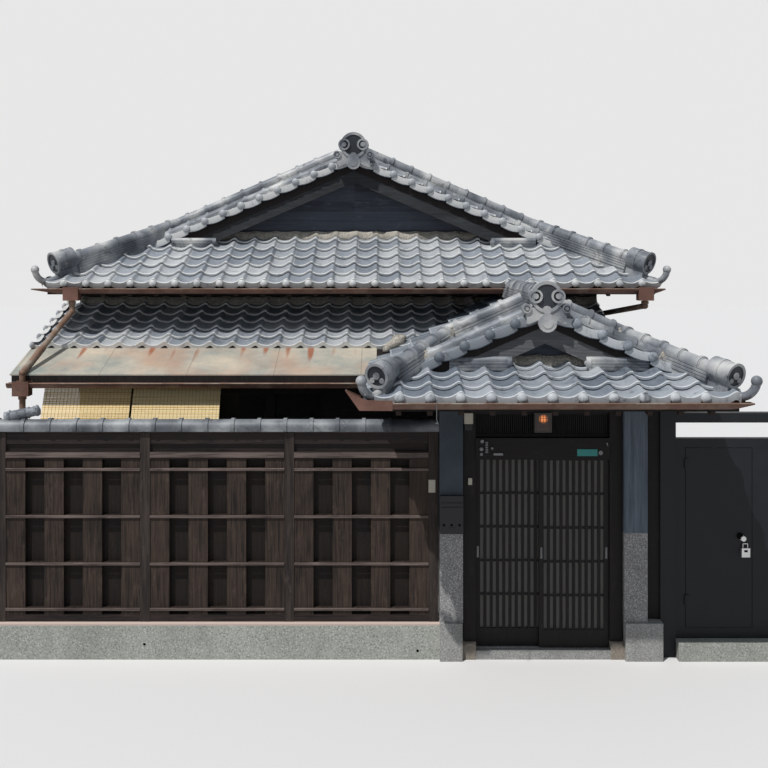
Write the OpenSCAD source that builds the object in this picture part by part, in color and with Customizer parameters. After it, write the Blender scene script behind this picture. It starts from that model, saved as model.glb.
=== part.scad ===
// Town house behind a boarded fence: a tiled street gate, a tiled lower roof that the gate's
// roof runs back into, and a tiled hip-and-gable main roof with its gable to the street.
// X runs along the street, Y runs back from the gate line and Z is up, all in millimetres.

/* [House] */
// Width over the side walls
house_w = 5980; // [5700:10:6300]
// Distance from the gate line to the front wall
front_wall_y = 1650; // [1550:10:1800]
// Depth of the aisle under the lower roof
aisle_d = 1280; // [1250:10:1320]
// Depth of the main room behind the aisle
room_d = 5450; // [5000:10:6500]
// Thickness of the walls
wall_t = 120; // [100:5:140]
// Height of the footing above the ground
footing_h = 400; // [350:10:450]
// Thickness of the floor boards on their bearers
floor_t = 60; // [40:5:80]

/* [Windows and entrance] */
// Width of the garden window
window_w = 2400; // [2000:10:2600]
// Height of the head of the windows above the ground
window_head = 2260; // [2150:10:2300]
// Distance of the garden window from the left wall
window_inset = 300; // [200:10:400]
// Width of the entrance doorway
entrance_w = 1500; // [1300:10:1600]
// Width of the rear window
rear_window_w = 1800; // [1500:10:2400]
// Height of the rear window's sill above the floor
rear_sill = 800; // [600:10:1000]

/* [Main roof] */
// Width over the side eaves
main_w = 6870; // [6700:10:7000]
// Overhang of the front and rear eaves past the walls
main_eave = 1010; // [990:10:1030]
// Height of the deck at the eaves
main_eave_z = 3420; // [3400:10:3500]
// Rise of the slopes for each unit of run
main_pitch = 0.43; // [0.40:0.005:0.46]
// Distance of the gable wall behind the eave
main_gable_back = 1220; // [1150:10:1300]
// Distance of the verge behind the eave
main_verge_back = 950; // [900:10:1000]
// Thickness of the roof deck, measured upright
main_deck = 110; // [90:5:130]

/* [Lower roof] */
// Distance of the eave from the gate line
lower_eave_y = 1030; // [1000:10:1100]
// Height of the deck at the eave
lower_eave_z = 2500; // [2470:10:2530]
// Rise of the slope for each unit of run
lower_pitch = 0.335; // [0.325:0.005:0.345]
// Length of the sheet metal apron along the eave, measured level
apron_run = 670; // [600:10:720]
// Overhang of the left verge past the wall
lower_verge = 520; // [480:10:560]
// Thickness of the roof deck, measured upright
lower_deck = 80; // [70:5:100]

/* [Gate] */
// Distance of the gate's centre line to the right of the house's centre line
gate_x = 1850; // [1800:10:1900]
// Clear width between the gate posts
gate_w = 1250; // [1200:10:1300]
// Width of a gate post
gate_post = 115; // [105:5:120]
// Width of a masonry pier
pier_w = 215; // [200:5:230]
// Depth of a masonry pier
pier_d = 240; // [220:10:260]
// Height of the base blocks
pier_base_h = 350; // [300:10:370]
// Height of the top of the granite
granite_top = 1180; // [1150:10:1200]
// Underside of the lintel
lintel_z = 1850; // [1830:5:1870]
// Height of the lintel
lintel_h = 200; // [180:5:210]
// Height of the open latticework over the lintel
transom_h = 240; // [220:5:250]
// Height of the head beam
head_beam_h = 150; // [140:5:160]

/* [Sliding leaves] */
// Width of a leaf
leaf_w = 650; // [640:5:680]
// Thickness of a leaf
leaf_t = 33; // [30:1:34]
// Distance between the two tracks
track_gap = 40; // [40:1:42]
// Height of the bottom of the leaves
leaf_z = 88; // [80:2:100]
// Width of a leaf's stiles
stile_w = 43; // [38:1:48]
// Number of slats between the stiles
slats = 9; // [7:1:10]
// Width of a slat
slat_w = 26; // [22:1:28]

/* [Gate roof] */
// Width over the side eaves
gate_roof_w = 3000; // [2900:10:3100]
// Distance of the front eave ahead of the gate line
gate_eave = 1170; // [1120:10:1200]
// Height of the deck at the eaves
gate_eave_z = 2560; // [2555:5:2600]
// Rise of the side slopes for each unit of run
gate_pitch = 0.44; // [0.43:0.005:0.46]
// Rise of the front slope for each unit of run
gate_front_pitch = 0.25; // [0.24:0.005:0.27]
// Distance of the gable wall behind the eave
gate_gable_back = 760; // [740:10:800]
// Distance of the verge behind the eave
gate_verge_back = 600; // [580:10:640]
// Distance of the roof's centre line to the left of the doorway's
gate_roof_shift = 60; // [0:5:70]
// Thickness of the roof deck, measured upright
gate_deck = 90; // [80:5:100]

/* [Fence] */
// Number of bays
bays = 3; // [2:1:3]
// Distance between the posts of a bay
bay_w = 1347; // [1300:1:1380]
// Width of a fence post
fence_post = 90; // [80:5:100]
// Height of the concrete base
fence_base_h = 330; // [300:10:350]
// Top of the boarding
board_top = 1850; // [1800:10:1880]
// Top of the head boards
fence_top = 2110; // [2080:10:2140]
// Number of boards in a bay
boards = 7; // [5:2:7]

/* [Side gate] */
// Width of the metal door
side_door_w = 619; // [600:1:640]
// Width of the fixed panel beside it
side_panel_w = 299; // [280:1:320]
// Underside of the door
side_door_z = 275; // [260:5:300]
// Top of the door
side_door_top = 1950; // [1900:10:1980]
// Thickness of the door
side_door_t = 40; // [36:1:44]

/* [Hidden] */
$fn = 32;

// Gap left between pieces that rest on or against each other
seat = 0.3;
// Running gap round the moving leaves and doors
run_gap = 5;

// Lengths past every model edge, for cutting tools
far = 20000;

// House lines
house_half = house_w / 2;
upper_wall_y = front_wall_y + aisle_d;
rear_y = upper_wall_y + room_d;
floor_z = footing_h + floor_t;

// Main roof lines
main_half = main_w / 2;
main_front = upper_wall_y - main_eave;
main_back = rear_y + main_eave;
main_depth = main_back - main_front;
main_ridge_z = main_eave_z + main_pitch * main_half;

// Gate lines, measured from the gate's centre line
post_in = gate_w / 2;
post_out = post_in + gate_post;
pier_in = post_out + 8;
pier_out = pier_in + pier_w;
lintel_top = lintel_z + lintel_h;
transom_top = lintel_top + transom_h;
beam_top = transom_top + head_beam_h;
gate_half = gate_roof_w / 2;
gate_front = -gate_eave;
leaf_top = lintel_z + 35;
leaf_travel = gate_w - leaf_w - 2 * run_gap;

// Fence lines, with the reach of the base past the end posts and half its depth
base_past = 10;
base_half = 100;
fence_end = gate_x - pier_out - 10 - fence_post / 2;
fence_start = fence_end - bays * bay_w;
cap_r = 75;
collar_r = 80;

// Side gate lines, measured from the gate's centre line
side_post_w = 145;
jamb_w = 92;
side_board_w = 137;
side_post_x = pier_out + side_board_w;
jamb_x = side_post_x + side_post_w;
door_x = jamb_x + jamb_w + run_gap;
panel_x = door_x + side_door_w + run_gap;
end_jamb_x = panel_x + side_panel_w + run_gap;
side_end = end_jamb_x + jamb_w + side_post_w;
hinge_r = 9;
side_face = -30;

// Half-round gutters
gutter_r = 55;
gutter_t = 3;

// Reach of the curled corner tiles past the eaves
tip_reach = 150;

// Ridges are bedded in mortar at the height of the roof tiles and built of flat courses under a round cap
bed_h = 60;
bed_drop = 120;
course_h = 27;
course_lip = 6;
course_groove = 12;
ridge_courses = 5;

// How far cutting shapes reach past the eaves
cut_reach = 500;

// Middle of the whole part on the ground, which is its origin
x_low = min(-main_half - tip_reach, fence_start - fence_post / 2 - base_past);
x_high = gate_x + side_end;
y_low = gate_front - tip_reach;
y_high = main_back + tip_reach;
middle = [(x_low + x_high) / 2, (y_low + y_high) / 2, 0];

// Moves a piece from the house's own lines to the part's origin
module placed() translate(-middle) children();

// Moves a piece from the gate's centre line to the house's own lines, and one from its roof's centre line
module at_gate() translate([gate_x, 0, 0]) children();
module at_gate_roof() translate([gate_x - gate_roof_shift, 0, 0]) children();

// Block between two corners given as ranges
module block(x, y, z) translate([x[0], y[0], z[0]]) cube([x[1] - x[0], y[1] - y[0], z[1] - z[0]]);

// The same block on both sides of the centre line
module both_sides(x, y, z) {
    block(x, y, z);
    block([-x[1], -x[0]], y, z);
}

// Outline in X and Z, drawn out along Y
module along_y(y) translate([0, y[1], 0]) rotate([90, 0, 0]) linear_extrude(y[1] - y[0]) children();

// Outline in Y and Z, drawn out along X
module along_x(x) translate([x[0], 0, 0]) rotate([90, 0, 90]) linear_extrude(x[1] - x[0]) children();

// Everything under a pair of slopes that rise from the two side eaves
module under_slopes(half, eave_z, pitch, drop, y) {
    foot_x = half + cut_reach;
    foot_z = eave_z - drop - pitch * cut_reach;
    along_y(y) polygon([
        [-foot_x, foot_z], [0, eave_z - drop + pitch * half], [foot_x, foot_z], [foot_x, -1], [-foot_x, -1]
    ]);
}

// Everything under a slope that rises towards +Y from an eave
module under_rise(eave_y, eave_z, pitch, drop, reach, x)
    along_x(x) polygon([
        [eave_y - cut_reach, eave_z - drop - pitch * cut_reach],
        [eave_y + reach, eave_z - drop + pitch * reach],
        [eave_y + reach, -1], [eave_y - cut_reach, -1]
    ]);

// Sheet of the left slope, cut to a plan outline
module left_sheet(half, eave_z, pitch, deck, y, plan)
    intersection() {
        linear_extrude(far) polygon(plan);
        along_y(y) polygon([
            [-half, eave_z - deck], [-half, eave_z],
            [0, eave_z + pitch * half], [0, eave_z + pitch * half - deck]
        ]);
    }

// Sheet of a slope that rises towards +Y, cut to a plan outline
module front_sheet(eave_y, eave_z, pitch, deck, reach, x, plan)
    intersection() {
        linear_extrude(far) polygon(plan);
        along_x(x) polygon([
            [eave_y, eave_z - deck], [eave_y, eave_z],
            [eave_y + reach, eave_z + pitch * reach],
            [eave_y + reach, eave_z + pitch * reach - deck]
        ]);
    }

// Plan of the left slope's front end: along the hip, then along the verge
// slant is how far the hip moves in from the side eave for each unit back from the front eave
function hip_plan(half, front, verge, slant) = [
    [-half, front + seat], [-half + slant * verge - seat, front + verge], [-1, front + verge]
];

// Plan of the front slope, which runs back under the verges as far as the gable wall
function front_plan(half, front, verge, gable, slant, lip) = [
    for (side = [1, -1], p = side > 0 ? [0:3] : [3:-1:0])
        [
            side * (half - seat - [0, slant * verge, slant * verge + lip, slant * gable + lip][p]),
            front + [0, verge - seat, verge - seat, gable][p]
        ]
];

// Roof tiles lie in waves, this wide, and this high over the deck in their hollows and on their rolls
tile_w = 250;
tile_low = 4;
tile_high = 43;
tile_in = 12;

// Corners of one wave: its place as a share of the tile's width, and 1 for the roll or 0 for the hollow
tile_wave = [[0.18, 0], [0.46, 0], [0.72, 1], [0.90, 1]];

// Waves of tiles on a slope that rises along Y from an eave at y = 0, cut to the plan that is given
module tile_waves(length, pitch, reach)
    intersection() {
        linear_extrude(far) children();
        rotate([atan(pitch), 0, 0]) along_y([0, 1.2 * reach])
            polygon(concat(
                [[-tile_w, -2 * tile_low]],
                [for (i = [-1:ceil(length / tile_w)], corner = tile_wave)
                    [(i + corner[0]) * tile_w, tile_low + corner[1] * (tile_high - tile_low)]],
                [[length + 2 * tile_w, -2 * tile_low]]
            ));
    }

// Room that a ridge's bed takes to each side of its line, and along a slope beside a hip
function bed_room(w) = w / 2 - course_groove + run_gap;
function hip_room(w, slant) = bed_room(w) * norm([1, slant]);

// Plan of the tiles on an end slope: between the hips, then up to the gable between its foot ridges
function end_field(half, slant, room, verge, foot, gable) = [
    for (side = [1, -1], p = side > 0 ? [0:3] : [3:-1:0])
        [
            half + side * [half - room - slant * tile_in, half - room - slant * verge, foot, foot][p],
            [tile_in, verge, verge, gable - tile_in][p]
        ]
];

// Plan of the tiles on a side slope, from its front hip past the ridges at its verge and up to the roof's ridge
function side_field(slant, room, verge, top) = [
    [(room + tile_in) / slant, tile_in], [verge, slant * verge - room], [verge, top]
];

// Fence

module fence_base()
    color("lightgray") placed()
        block([fence_start - fence_post / 2 - base_past, fence_end + fence_post / 2 + base_past],
            [-base_half, base_half], [0, fence_base_h]);

module fence_posts()
    color("saddlebrown") placed()
        for (i = [0:bays])
            translate([fence_start + i * bay_w, 0, fence_base_h + seat])
                linear_extrude(fence_top - fence_base_h - seat) square(fence_post, center = true);

// Clear stretch between the posts of a bay
function bay_x(i) = [
    fence_start + i * bay_w + fence_post / 2 + seat,
    fence_start + (i + 1) * bay_w - fence_post / 2 - seat
];

sill_top = fence_base_h + 65;
moulding_h = 70;
head_board_h = 120;
fence_sill_half = 42;
moulding_half = 48;
head_board_half = 35;

module fence_rails()
    color("sienna") placed()
        for (i = [0:bays - 1]) {
            block(bay_x(i), [-fence_sill_half, fence_sill_half], [fence_base_h + seat, sill_top]);
            block(bay_x(i), [-moulding_half, moulding_half], [board_top, board_top + moulding_h]);
            block(bay_x(i), [-head_board_half, head_board_half], [fence_top - head_board_h, fence_top]);
        }

// Boards stand in front of and behind the rails in turn
rail_half = 22;
rail_up = 14;
board_t = 15;
board_lap = 24;
rail_levels = [445, 869, 1310, 1751];

module fence_panel(i) {
    x = bay_x(i);
    step = (x[1] - x[0]) / boards;
    for (z = rail_levels)
        block(x, [-rail_half, rail_half], [z - rail_up, z + rail_up]);
    for (k = [0:boards - 1]) {
        front = k % 2 == 0;
        lap = front ? 0 : board_lap;
        y = front ? [-rail_half - board_t, -rail_half] : [rail_half, rail_half + board_t];
        block([x[0] + k * step - lap, x[0] + (k + 1) * step + lap], y, [sill_top + seat, board_top - seat]);
    }
}

module fence_panel_left() color("sienna") placed() fence_panel(0);
module fence_panel_middle() color("sienna") placed() fence_panel(floor((bays - 1) / 2));
module fence_panel_right() color("sienna") placed() fence_panel(bays - 1);

collar_step = 245;
collar_l = 30;
cap_up = 30;

module fence_cap() {
    x = [fence_start - fence_post / 2 - base_past, fence_end + fence_post / 2 + base_past - 2];
    collars = floor((x[1] - x[0]) / collar_step);
    color("darkgray") placed()
        intersection() {
            union() {
                along_x(x) {
                    translate([0, fence_top + cap_up]) circle(cap_r);
                    translate([-cap_r, fence_top + seat]) square([2 * cap_r, cap_up]);
                }
                for (i = [0:collars])
                    translate([x[0] + i * collar_step, 0, fence_top + cap_up])
                        rotate([0, 90, 0]) cylinder(r = collar_r, h = collar_l);
            }
            block(x, [-collar_r, collar_r], [fence_top + seat, fence_top + cap_up + 2 * collar_r]);
        }
}

// Street gate

base_block_half = 150;
base_block_in = 6;

module gate_base_blocks()
    color("gainsboro") placed() at_gate() {
        y = [-base_block_half, base_block_half];
        block([-pier_out, -pier_in - base_block_in], y, [0, pier_base_h]);
        block([pier_in + base_block_in, side_post_x - seat], y, [0, pier_base_h]);
    }

stone_h = 155;
stone_r = 150;
stone_d = 210;
stone_mid = 40;
stone_past = 5;

module gate_post_stones()
    color("darkkhaki") placed() at_gate()
        for (side = [0, 1]) mirror([side, 0, 0])
            intersection() {
                translate([post_in + gate_post / 2, 0, stone_mid]) sphere(r = stone_r, $fn = 48);
                block([post_in, pier_in + stone_past], [-stone_d / 2, stone_d / 2], [0, stone_h]);
            }

module gate_pier_granite()
    color("gray") placed() at_gate()
        both_sides([pier_in, pier_out], [-pier_d / 2, pier_d / 2], [pier_base_h + seat, granite_top]);

module gate_pier_render()
    color("slategray") placed() at_gate()
        both_sides([pier_in, pier_out], [-pier_d / 2, pier_d / 2], [granite_top + seat, beam_top]);

post_half = 60;

module gate_posts()
    color("saddlebrown") placed() at_gate()
        both_sides([post_in, post_out], [-post_half, post_half], [stone_h + seat, transom_top]);

rail_w = 10;
sill_z = leaf_z - 6;
sill_y = 100;

module gate_sill()
    color("silver") placed() at_gate() {
        sill_half = post_in - seat;
        block([-sill_half, sill_half], [-sill_y, sill_y], [0, sill_z]);
        for (side = [-1, 1])
            translate([-sill_half, side * track_gap / 2 - rail_w / 2, sill_z - 1])
                cube([2 * sill_half, rail_w, leaf_z - seat - sill_z + 1]);
    }

// Lintel with a channel under it for the heads of the leaves
lintel_half = 75;
channel_half = 45;
channel_up = 8;

module gate_lintel()
    color("saddlebrown") placed() at_gate()
        difference() {
            block([-post_in + seat, post_in - seat], [-lintel_half, lintel_half], [lintel_z, lintel_top]);
            block([-far, far], [-channel_half, channel_half], [lintel_z - 1, leaf_top + channel_up]);
        }

transom_rail = 28;
transom_bar = 10;
transom_step = 19;
transom_half = 15;
transom_bar_half = 8;

module gate_transom() {
    half = post_in - seat;
    bars = floor((2 * half - transom_bar) / transom_step / 2);
    color("saddlebrown") placed() at_gate() {
        y = [-transom_half, transom_half];
        block([-half, half], y, [lintel_top + seat, lintel_top + transom_rail]);
        block([-half, half], y, [transom_top - transom_rail, transom_top]);
        for (i = [-bars:bars])
            block([i * transom_step - transom_bar / 2, i * transom_step + transom_bar / 2],
                [-transom_bar_half, transom_bar_half],
                [lintel_top + transom_rail - 1, transom_top - transom_rail + 1]);
    }
}

lamp_w = 160;
lamp_h = 185;
lamp_d = 80;
lamp_rim = 14;

module gate_lamp()
    color("tan") placed() at_gate() {
        z = [transom_top - lamp_h, transom_top - seat];
        back = -transom_half - seat;
        difference() {
            block([-lamp_w / 2, lamp_w / 2], [back - lamp_d, back], z);
            block([-lamp_w / 2 + lamp_rim, lamp_w / 2 - lamp_rim], [back - lamp_d - 1, back - lamp_d + lamp_rim],
                [z[0] + lamp_rim, z[1] - lamp_rim]);
        }
    }

// Side beams on the piers, the cross beams between them and the head beam on the posts
beam_w = 100;
beam_set_back = 370;
beam_front = gate_front + beam_set_back;
beam_back = lower_eave_y - 130;
beam_x = (pier_in + pier_out) / 2;

module gate_beams()
    color("saddlebrown") placed() at_gate() {
        block([-pier_in + seat, pier_in - seat], [-post_half, post_half], [transom_top + seat, beam_top]);
        intersection() {
            both_sides([beam_x - beam_w / 2, beam_x + beam_w / 2], [beam_front, beam_back],
                [beam_top + seat, far]);
            translate([-gate_roof_shift, 0, 0]) {
                under_slopes(gate_half, gate_eave_z, gate_pitch, gate_deck + seat,
                    [gate_front + gate_gable_back + seat, beam_back]);
                intersection() {
                    under_slopes(gate_half, gate_eave_z, gate_pitch, gate_deck + seat,
                        [gate_front, gate_front + gate_gable_back + 1]);
                    under_rise(gate_front, gate_eave_z, gate_front_pitch, gate_deck + seat, cut_reach + gate_gable_back,
                        [-far, far]);
                }
            }
        }
        block([-beam_x + beam_w / 2 + seat, beam_x - beam_w / 2 - seat], [beam_front, beam_front + beam_w],
            [beam_top + seat, gate_eave_z - gate_deck + gate_front_pitch * beam_set_back - seat]);
        block([-beam_x + beam_w / 2 + seat, beam_x - beam_w / 2 - seat], [beam_back - beam_w, beam_back],
            [beam_top + seat, beam_top + beam_w]);
    }

// One sliding leaf about its own middle, with its bottom at z = 0
leaf_h = leaf_top - leaf_z;
top_rail = 50;
kick_h = 167;
cross_rails = 4;
cross_rail_h = 20;
lattice_d = 18;
slat_set = 2;
cross_set = 3;

// Sunk finger pull in the face of a stile
pull_w = 20;
pull_h = 110;
pull_z = 880;
pull_d = 7;

module leaf_frame() {
    inside = leaf_w / 2 - stile_w;
    pitch = (2 * inside + slat_w) / (slats + 1);
    for (side = [-1, 1])
        translate([side * (inside + stile_w / 2), 0, 0])
            difference() {
                block([-stile_w / 2, stile_w / 2], [-leaf_t / 2, leaf_t / 2], [0, leaf_h]);
                block([-pull_w / 2, pull_w / 2], [-leaf_t / 2 - 1, -leaf_t / 2 + pull_d],
                    [pull_z - pull_h / 2, pull_z + pull_h / 2]);
            }
    block([-inside - 1, inside + 1], [-leaf_t / 2, leaf_t / 2], [leaf_h - top_rail, leaf_h]);
    block([-inside - 1, inside + 1], [-leaf_t / 2, leaf_t / 2], [0, kick_h]);
    for (i = [1:slats])
        block([-inside - slat_w + i * pitch, -inside + i * pitch],
            [-leaf_t / 2 + slat_set, -leaf_t / 2 + lattice_d], [kick_h - 1, leaf_h - top_rail + 1]);
    for (i = [1:cross_rails])
        translate([0, -leaf_t / 2 + lattice_d / 2 + cross_set,
            kick_h + i * (leaf_h - top_rail - kick_h) / (cross_rails + 1)])
            cube([2 * inside + 2, lattice_d - 2 * cross_set, cross_rail_h], center = true);
}

pane_t = 4;

module leaf_glass() {
    inside = leaf_w / 2 - stile_w - seat;
    block([-inside, inside], [-leaf_t / 2 + lattice_d + 1, -leaf_t / 2 + lattice_d + 1 + pane_t],
        [kick_h + seat, leaf_h - top_rail - seat]);
}

// The left leaf runs on the rear track and the right leaf on the front one
leaf_x = post_in - run_gap - leaf_w / 2;

module at_left_leaf() at_gate() translate([-leaf_x, track_gap / 2, leaf_z]) children();
module at_right_leaf() at_gate() translate([leaf_x, -track_gap / 2, leaf_z]) children();

module gate_leaf_left() color("sienna") placed() at_left_leaf() leaf_frame();
module gate_leaf_right() color("sienna") placed() at_right_leaf() leaf_frame();
module gate_glass_left() color("lightblue") placed() at_left_leaf() leaf_glass();
module gate_glass_right() color("lightblue") placed() at_right_leaf() leaf_glass();

box_h = 350;
box_d = 35;
box_groove = 8;
box_groove_levels = [65, 105];
box_hole_step = 22;
box_hole_up = 60;
box_hole_r = 5;

module letter_box()
    color("black") placed() at_gate()
        difference() {
            block([-pier_out, -pier_in], [-pier_d / 2 - seat - box_d, -pier_d / 2 - seat],
                [granite_top, granite_top + box_h]);
            for (z = box_groove_levels)
                block([-pier_out + box_groove, -pier_in - box_groove],
                    [-far, -pier_d / 2 - seat - box_d + box_groove],
                    [granite_top + box_h - z, granite_top + box_h - z + 10]);
            for (side = [-1:1])
                translate([-beam_x + side * box_hole_step, -pier_d / 2 - box_d + box_groove, granite_top + box_hole_up])
                    rotate([90, 0, 0]) cylinder(r = box_hole_r, h = 20);
        }

// Gate roof: hip-and-gable to the street, cut off at the back along the lower roof

gate_slant = gate_front_pitch / gate_pitch;
gate_reach = upper_wall_y + gate_eave;
gate_back = upper_wall_y - seat;
gate_depth = gate_back - gate_front;

// Everything under the top of the lower roof, with a gap
module under_lower_roof(drop)
    under_rise(lower_eave_y, lower_eave_z, lower_pitch, drop, 2 * upper_wall_y, [-far, far]);

module gate_roof()
    color("darkgray") placed() at_gate_roof()
        difference() {
            union() {
                for (side = [0, 1]) mirror([side, 0, 0])
                    left_sheet(gate_half, gate_eave_z, gate_pitch, gate_deck, [gate_front, gate_back],
                        concat(hip_plan(gate_half, gate_front, gate_verge_back, gate_slant),
                            [[-1, gate_back], [-gate_half, gate_back]]));
                front_sheet(gate_front, gate_eave_z, gate_front_pitch, gate_deck, gate_gable_back,
                    [-gate_half, gate_half],
                    front_plan(gate_half, gate_front, gate_verge_back, gate_gable_back, gate_slant,
                        gate_deck / gate_pitch));
                translate([-gate_half, gate_front, gate_eave_z])
                    tile_waves(gate_roof_w, gate_front_pitch, gate_gable_back)
                        polygon(end_field(gate_half, gate_slant, hip_room(corner_w, gate_slant),
                            gate_verge_back - run_gap, gate_gable_foot - run_gap, gate_gable_back));
                translate([gate_half, gate_front, gate_eave_z]) rotate([0, 0, 90])
                    tile_waves(gate_depth, gate_pitch, gate_half) gate_side_field();
                translate([-gate_half, gate_back, gate_eave_z]) rotate([0, 0, -90])
                    tile_waves(gate_depth, gate_pitch, gate_half)
                        translate([gate_depth, 0]) mirror([1, 0]) gate_side_field();
            }
            translate([-gate_x, 0, 0]) under_lower_roof(-seat);
        }

// Plan of the tiles on a side of the gate's roof: behind its rear ridge, and between that and the one at its verge
module gate_side_field() {
    room = hip_room(corner_w, gate_slant);
    top = gate_half - bed_room(gate_ridge_w);
    near = gate_verge_ridge + bed_room(verge_w);
    past = gate_rear_ridge - bed_room(corner_w - 10);
    polygon(concat(side_field(gate_slant, room, gate_rear_ridge + bed_room(corner_w - 10), top),
        [[gate_depth - tile_in, top], [gate_depth - tile_in, tile_in]]));
    // Here the slope climbs beside the corner ridge, so its lips need room too
    above = room + course_groove * norm([1, gate_slant]);
    polygon([[near, gate_slant * near + above], [near, top], [past, top], [past, gate_slant * past + above]]);
}

gable_t = 40;

// The side beams pass the gable through notches
module gate_gable()
    color("dimgray") placed() at_gate_roof()
        difference() {
            intersection() {
                block([-far, far], [gate_front + gate_gable_back + seat, gate_front + gate_gable_back + gable_t],
                    [gate_eave_z + gate_front_pitch * gate_gable_back - gate_deck, far]);
                under_slopes(gate_half, gate_eave_z, gate_pitch, gate_deck + seat, [gate_front, gate_back]);
            }
            translate([gate_roof_shift, 0, 0])
                both_sides([beam_x - beam_w / 2 - seat, beam_x + beam_w / 2 + seat], [gate_front, gate_back], [0, far]);
        }

// Pair of bargeboards under the verges of a gable, from its apex out to a run to each side
module bargeboards(half, eave_z, pitch, deck, run, depth, y)
    for (side = [0, 1]) mirror([side, 0, 0])
        along_y(y) polygon([
            [-run, eave_z + pitch * (half - run) - deck - seat],
            [0, eave_z + pitch * half - deck - seat],
            [0, eave_z + pitch * half - deck - depth],
            [-run, eave_z + pitch * (half - run) - deck - depth]
        ]);

gate_barge_h = 155;
gate_barge_t = 30;

module gate_bargeboards()
    color("gray") placed() at_gate_roof()
        difference() {
            bargeboards(gate_half, gate_eave_z, gate_pitch, gate_deck,
                gate_half - gate_slant * gate_gable_back - gate_deck / gate_pitch - 20, gate_barge_h,
                [gate_front + gate_verge_back + 5, gate_front + gate_verge_back + 5 + gate_barge_t]);
            under_rise(gate_front, gate_eave_z, gate_front_pitch, -seat, 2 * gate_gable_back, [-far, far]);
        }

// Ridge section about x = 0: a mortar bed, flat courses that step in with a groove under each lip, and a round cap
module ridge_section(w, courses, cap) {
    translate([-w / 2 + course_groove, -bed_drop])
        square([w - 2 * course_groove, bed_drop + bed_h + 1]);
    for (i = [0:courses - 1])
        translate([0, bed_h + i * course_h]) {
            half = w / 2 - i * course_lip;
            translate([-half, course_lip]) square([2 * half, course_h - course_lip]);
            translate([-half + course_groove, -1]) square([2 * half - 2 * course_groove, course_h]);
        }
    translate([0, bed_h + courses * course_h]) circle(cap);
}

// Puts X across, Y up and Z along the hip line that climbs from the left front corner
module on_hip(half, front, eave_z, pitch, slant, start)
    translate([-half + start, front + start / slant, eave_z + pitch * start])
        rotate([0, 0, atan(1 / slant)])
            rotate([0, -atan(pitch / norm([1, 1 / slant])), 0])
                rotate([90, 0, 90]) children();

// Length along the hip for a run in from the side eave
function hip_len(pitch, slant, run) = run * norm([1, 1 / slant, pitch]);

// Ridge down the left slope, at a distance back from the front eave, from the hip up to the roof's ridge
module verge_ridge(half, front, eave_z, pitch, slant, back, w, courses, cap) {
    start = slant * back;
    stop = half - cap;
    translate([-half + start, front + back, eave_z + pitch * start])
        rotate([0, -atan(pitch), 0]) rotate([90, 0, 90])
            linear_extrude((stop - start) / cos(atan(pitch))) ridge_section(w, courses, cap);
}

// Pyramid under all the slopes round a hip
module under_hips(half, front, back, eave_z, pitch, front_pitch, drop)
    intersection() {
        under_slopes(half, eave_z, pitch, drop, [front - cut_reach, back + cut_reach]);
        under_rise(front, eave_z, front_pitch, drop, back - front, [-half - cut_reach, half + cut_reach]);
        translate([0, front + back, 0]) mirror([0, 1, 0])
            under_rise(front, eave_z, front_pitch, drop, back - front, [-half - cut_reach, half + cut_reach]);
    }

// Courses of a corner ridge, its width and its cap; the smaller ridge down the verge is the front one
corner_w = 170;
gate_cap = 60;
verge_w = 130;
verge_cap = 52;
gate_ridge_w = 200;
gate_ridge_y = gate_front + gate_verge_back - 20;
gate_ridge_end = main_front - 2 * gutter_r - 40;
gate_corner_start = 150;
gate_verge_ridge = gate_verge_back + 80;
gate_rear_ridge = gate_verge_back + 620;

// Everything under the gate's roof, with its overhanging verge
module under_gate_roof(drop) {
    under_hips(gate_half, gate_front, gate_front + 2 * gate_reach, gate_eave_z, gate_pitch, gate_front_pitch, drop);
    under_slopes(gate_half, gate_eave_z, gate_pitch, drop, [gate_front + gate_verge_back + drop, gate_back + 10]);
}

module gate_ridges()
    color("gray") placed() at_gate_roof() {
        difference() {
            translate([0, 0, gate_eave_z + gate_pitch * gate_half]) {
                along_y([gate_ridge_y, gate_ridge_end]) ridge_section(gate_ridge_w, ridge_courses, gate_cap);
                along_y([gate_ridge_end - 1, gate_back]) translate([0, foot_cap + 2]) low_cap();
            }
            under_slopes(gate_half, gate_eave_z, gate_pitch, -seat, [gate_front, gate_back + 10]);
            translate([-gate_x, 0, 0]) under_lower_roof(-seat);
        }
        for (side = [0, 1]) mirror([side, 0, 0])
            difference() {
                union() {
                    on_hip(gate_half, gate_front, gate_eave_z, gate_pitch, gate_slant, gate_corner_start)
                        linear_extrude(hip_len(gate_pitch, gate_slant,
                            gate_slant * gate_rear_ridge - gate_corner_start))
                            ridge_section(corner_w, ridge_courses - 1, gate_cap);
                    verge_ridge(gate_half, gate_front, gate_eave_z, gate_pitch, gate_slant, gate_verge_ridge,
                        verge_w, 1, verge_cap);
                    verge_ridge(gate_half, gate_front, gate_eave_z, gate_pitch, gate_slant, gate_rear_ridge,
                        corner_w - 10, ridge_courses - 1, verge_cap + 3);
                    foot_ridge([-gate_half + gate_slant * gate_verge_back + 20, -gate_gable_foot],
                        gate_front + gate_verge_back + 100,
                        gate_eave_z + gate_front_pitch * (gate_verge_back + 100) + foot_cap / 2);
                }
                under_gate_roof(-seat);
            }
    }

// Low ridge along the foot of a gable, beside its boards
foot_cap = 38;
gate_gable_foot = 430;

module low_cap() {
    circle(foot_cap);
    translate([-foot_cap + 10, -2 * foot_cap]) square([2 * foot_cap - 20, 2 * foot_cap]);
}

module foot_ridge(x, y, z)
    along_x(x) translate([y, z]) low_cap();

// Scroll on the face of an ornament: a raised ring and a boss, standing out towards -Y
module scroll(r, proud)
    rotate([90, 0, 0]) translate([0, 0, -5]) {
        linear_extrude(proud + 5) difference() {
            circle(r);
            circle(r * 0.7);
        }
        linear_extrude(proud + 11) circle(r * 0.4);
    }

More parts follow.
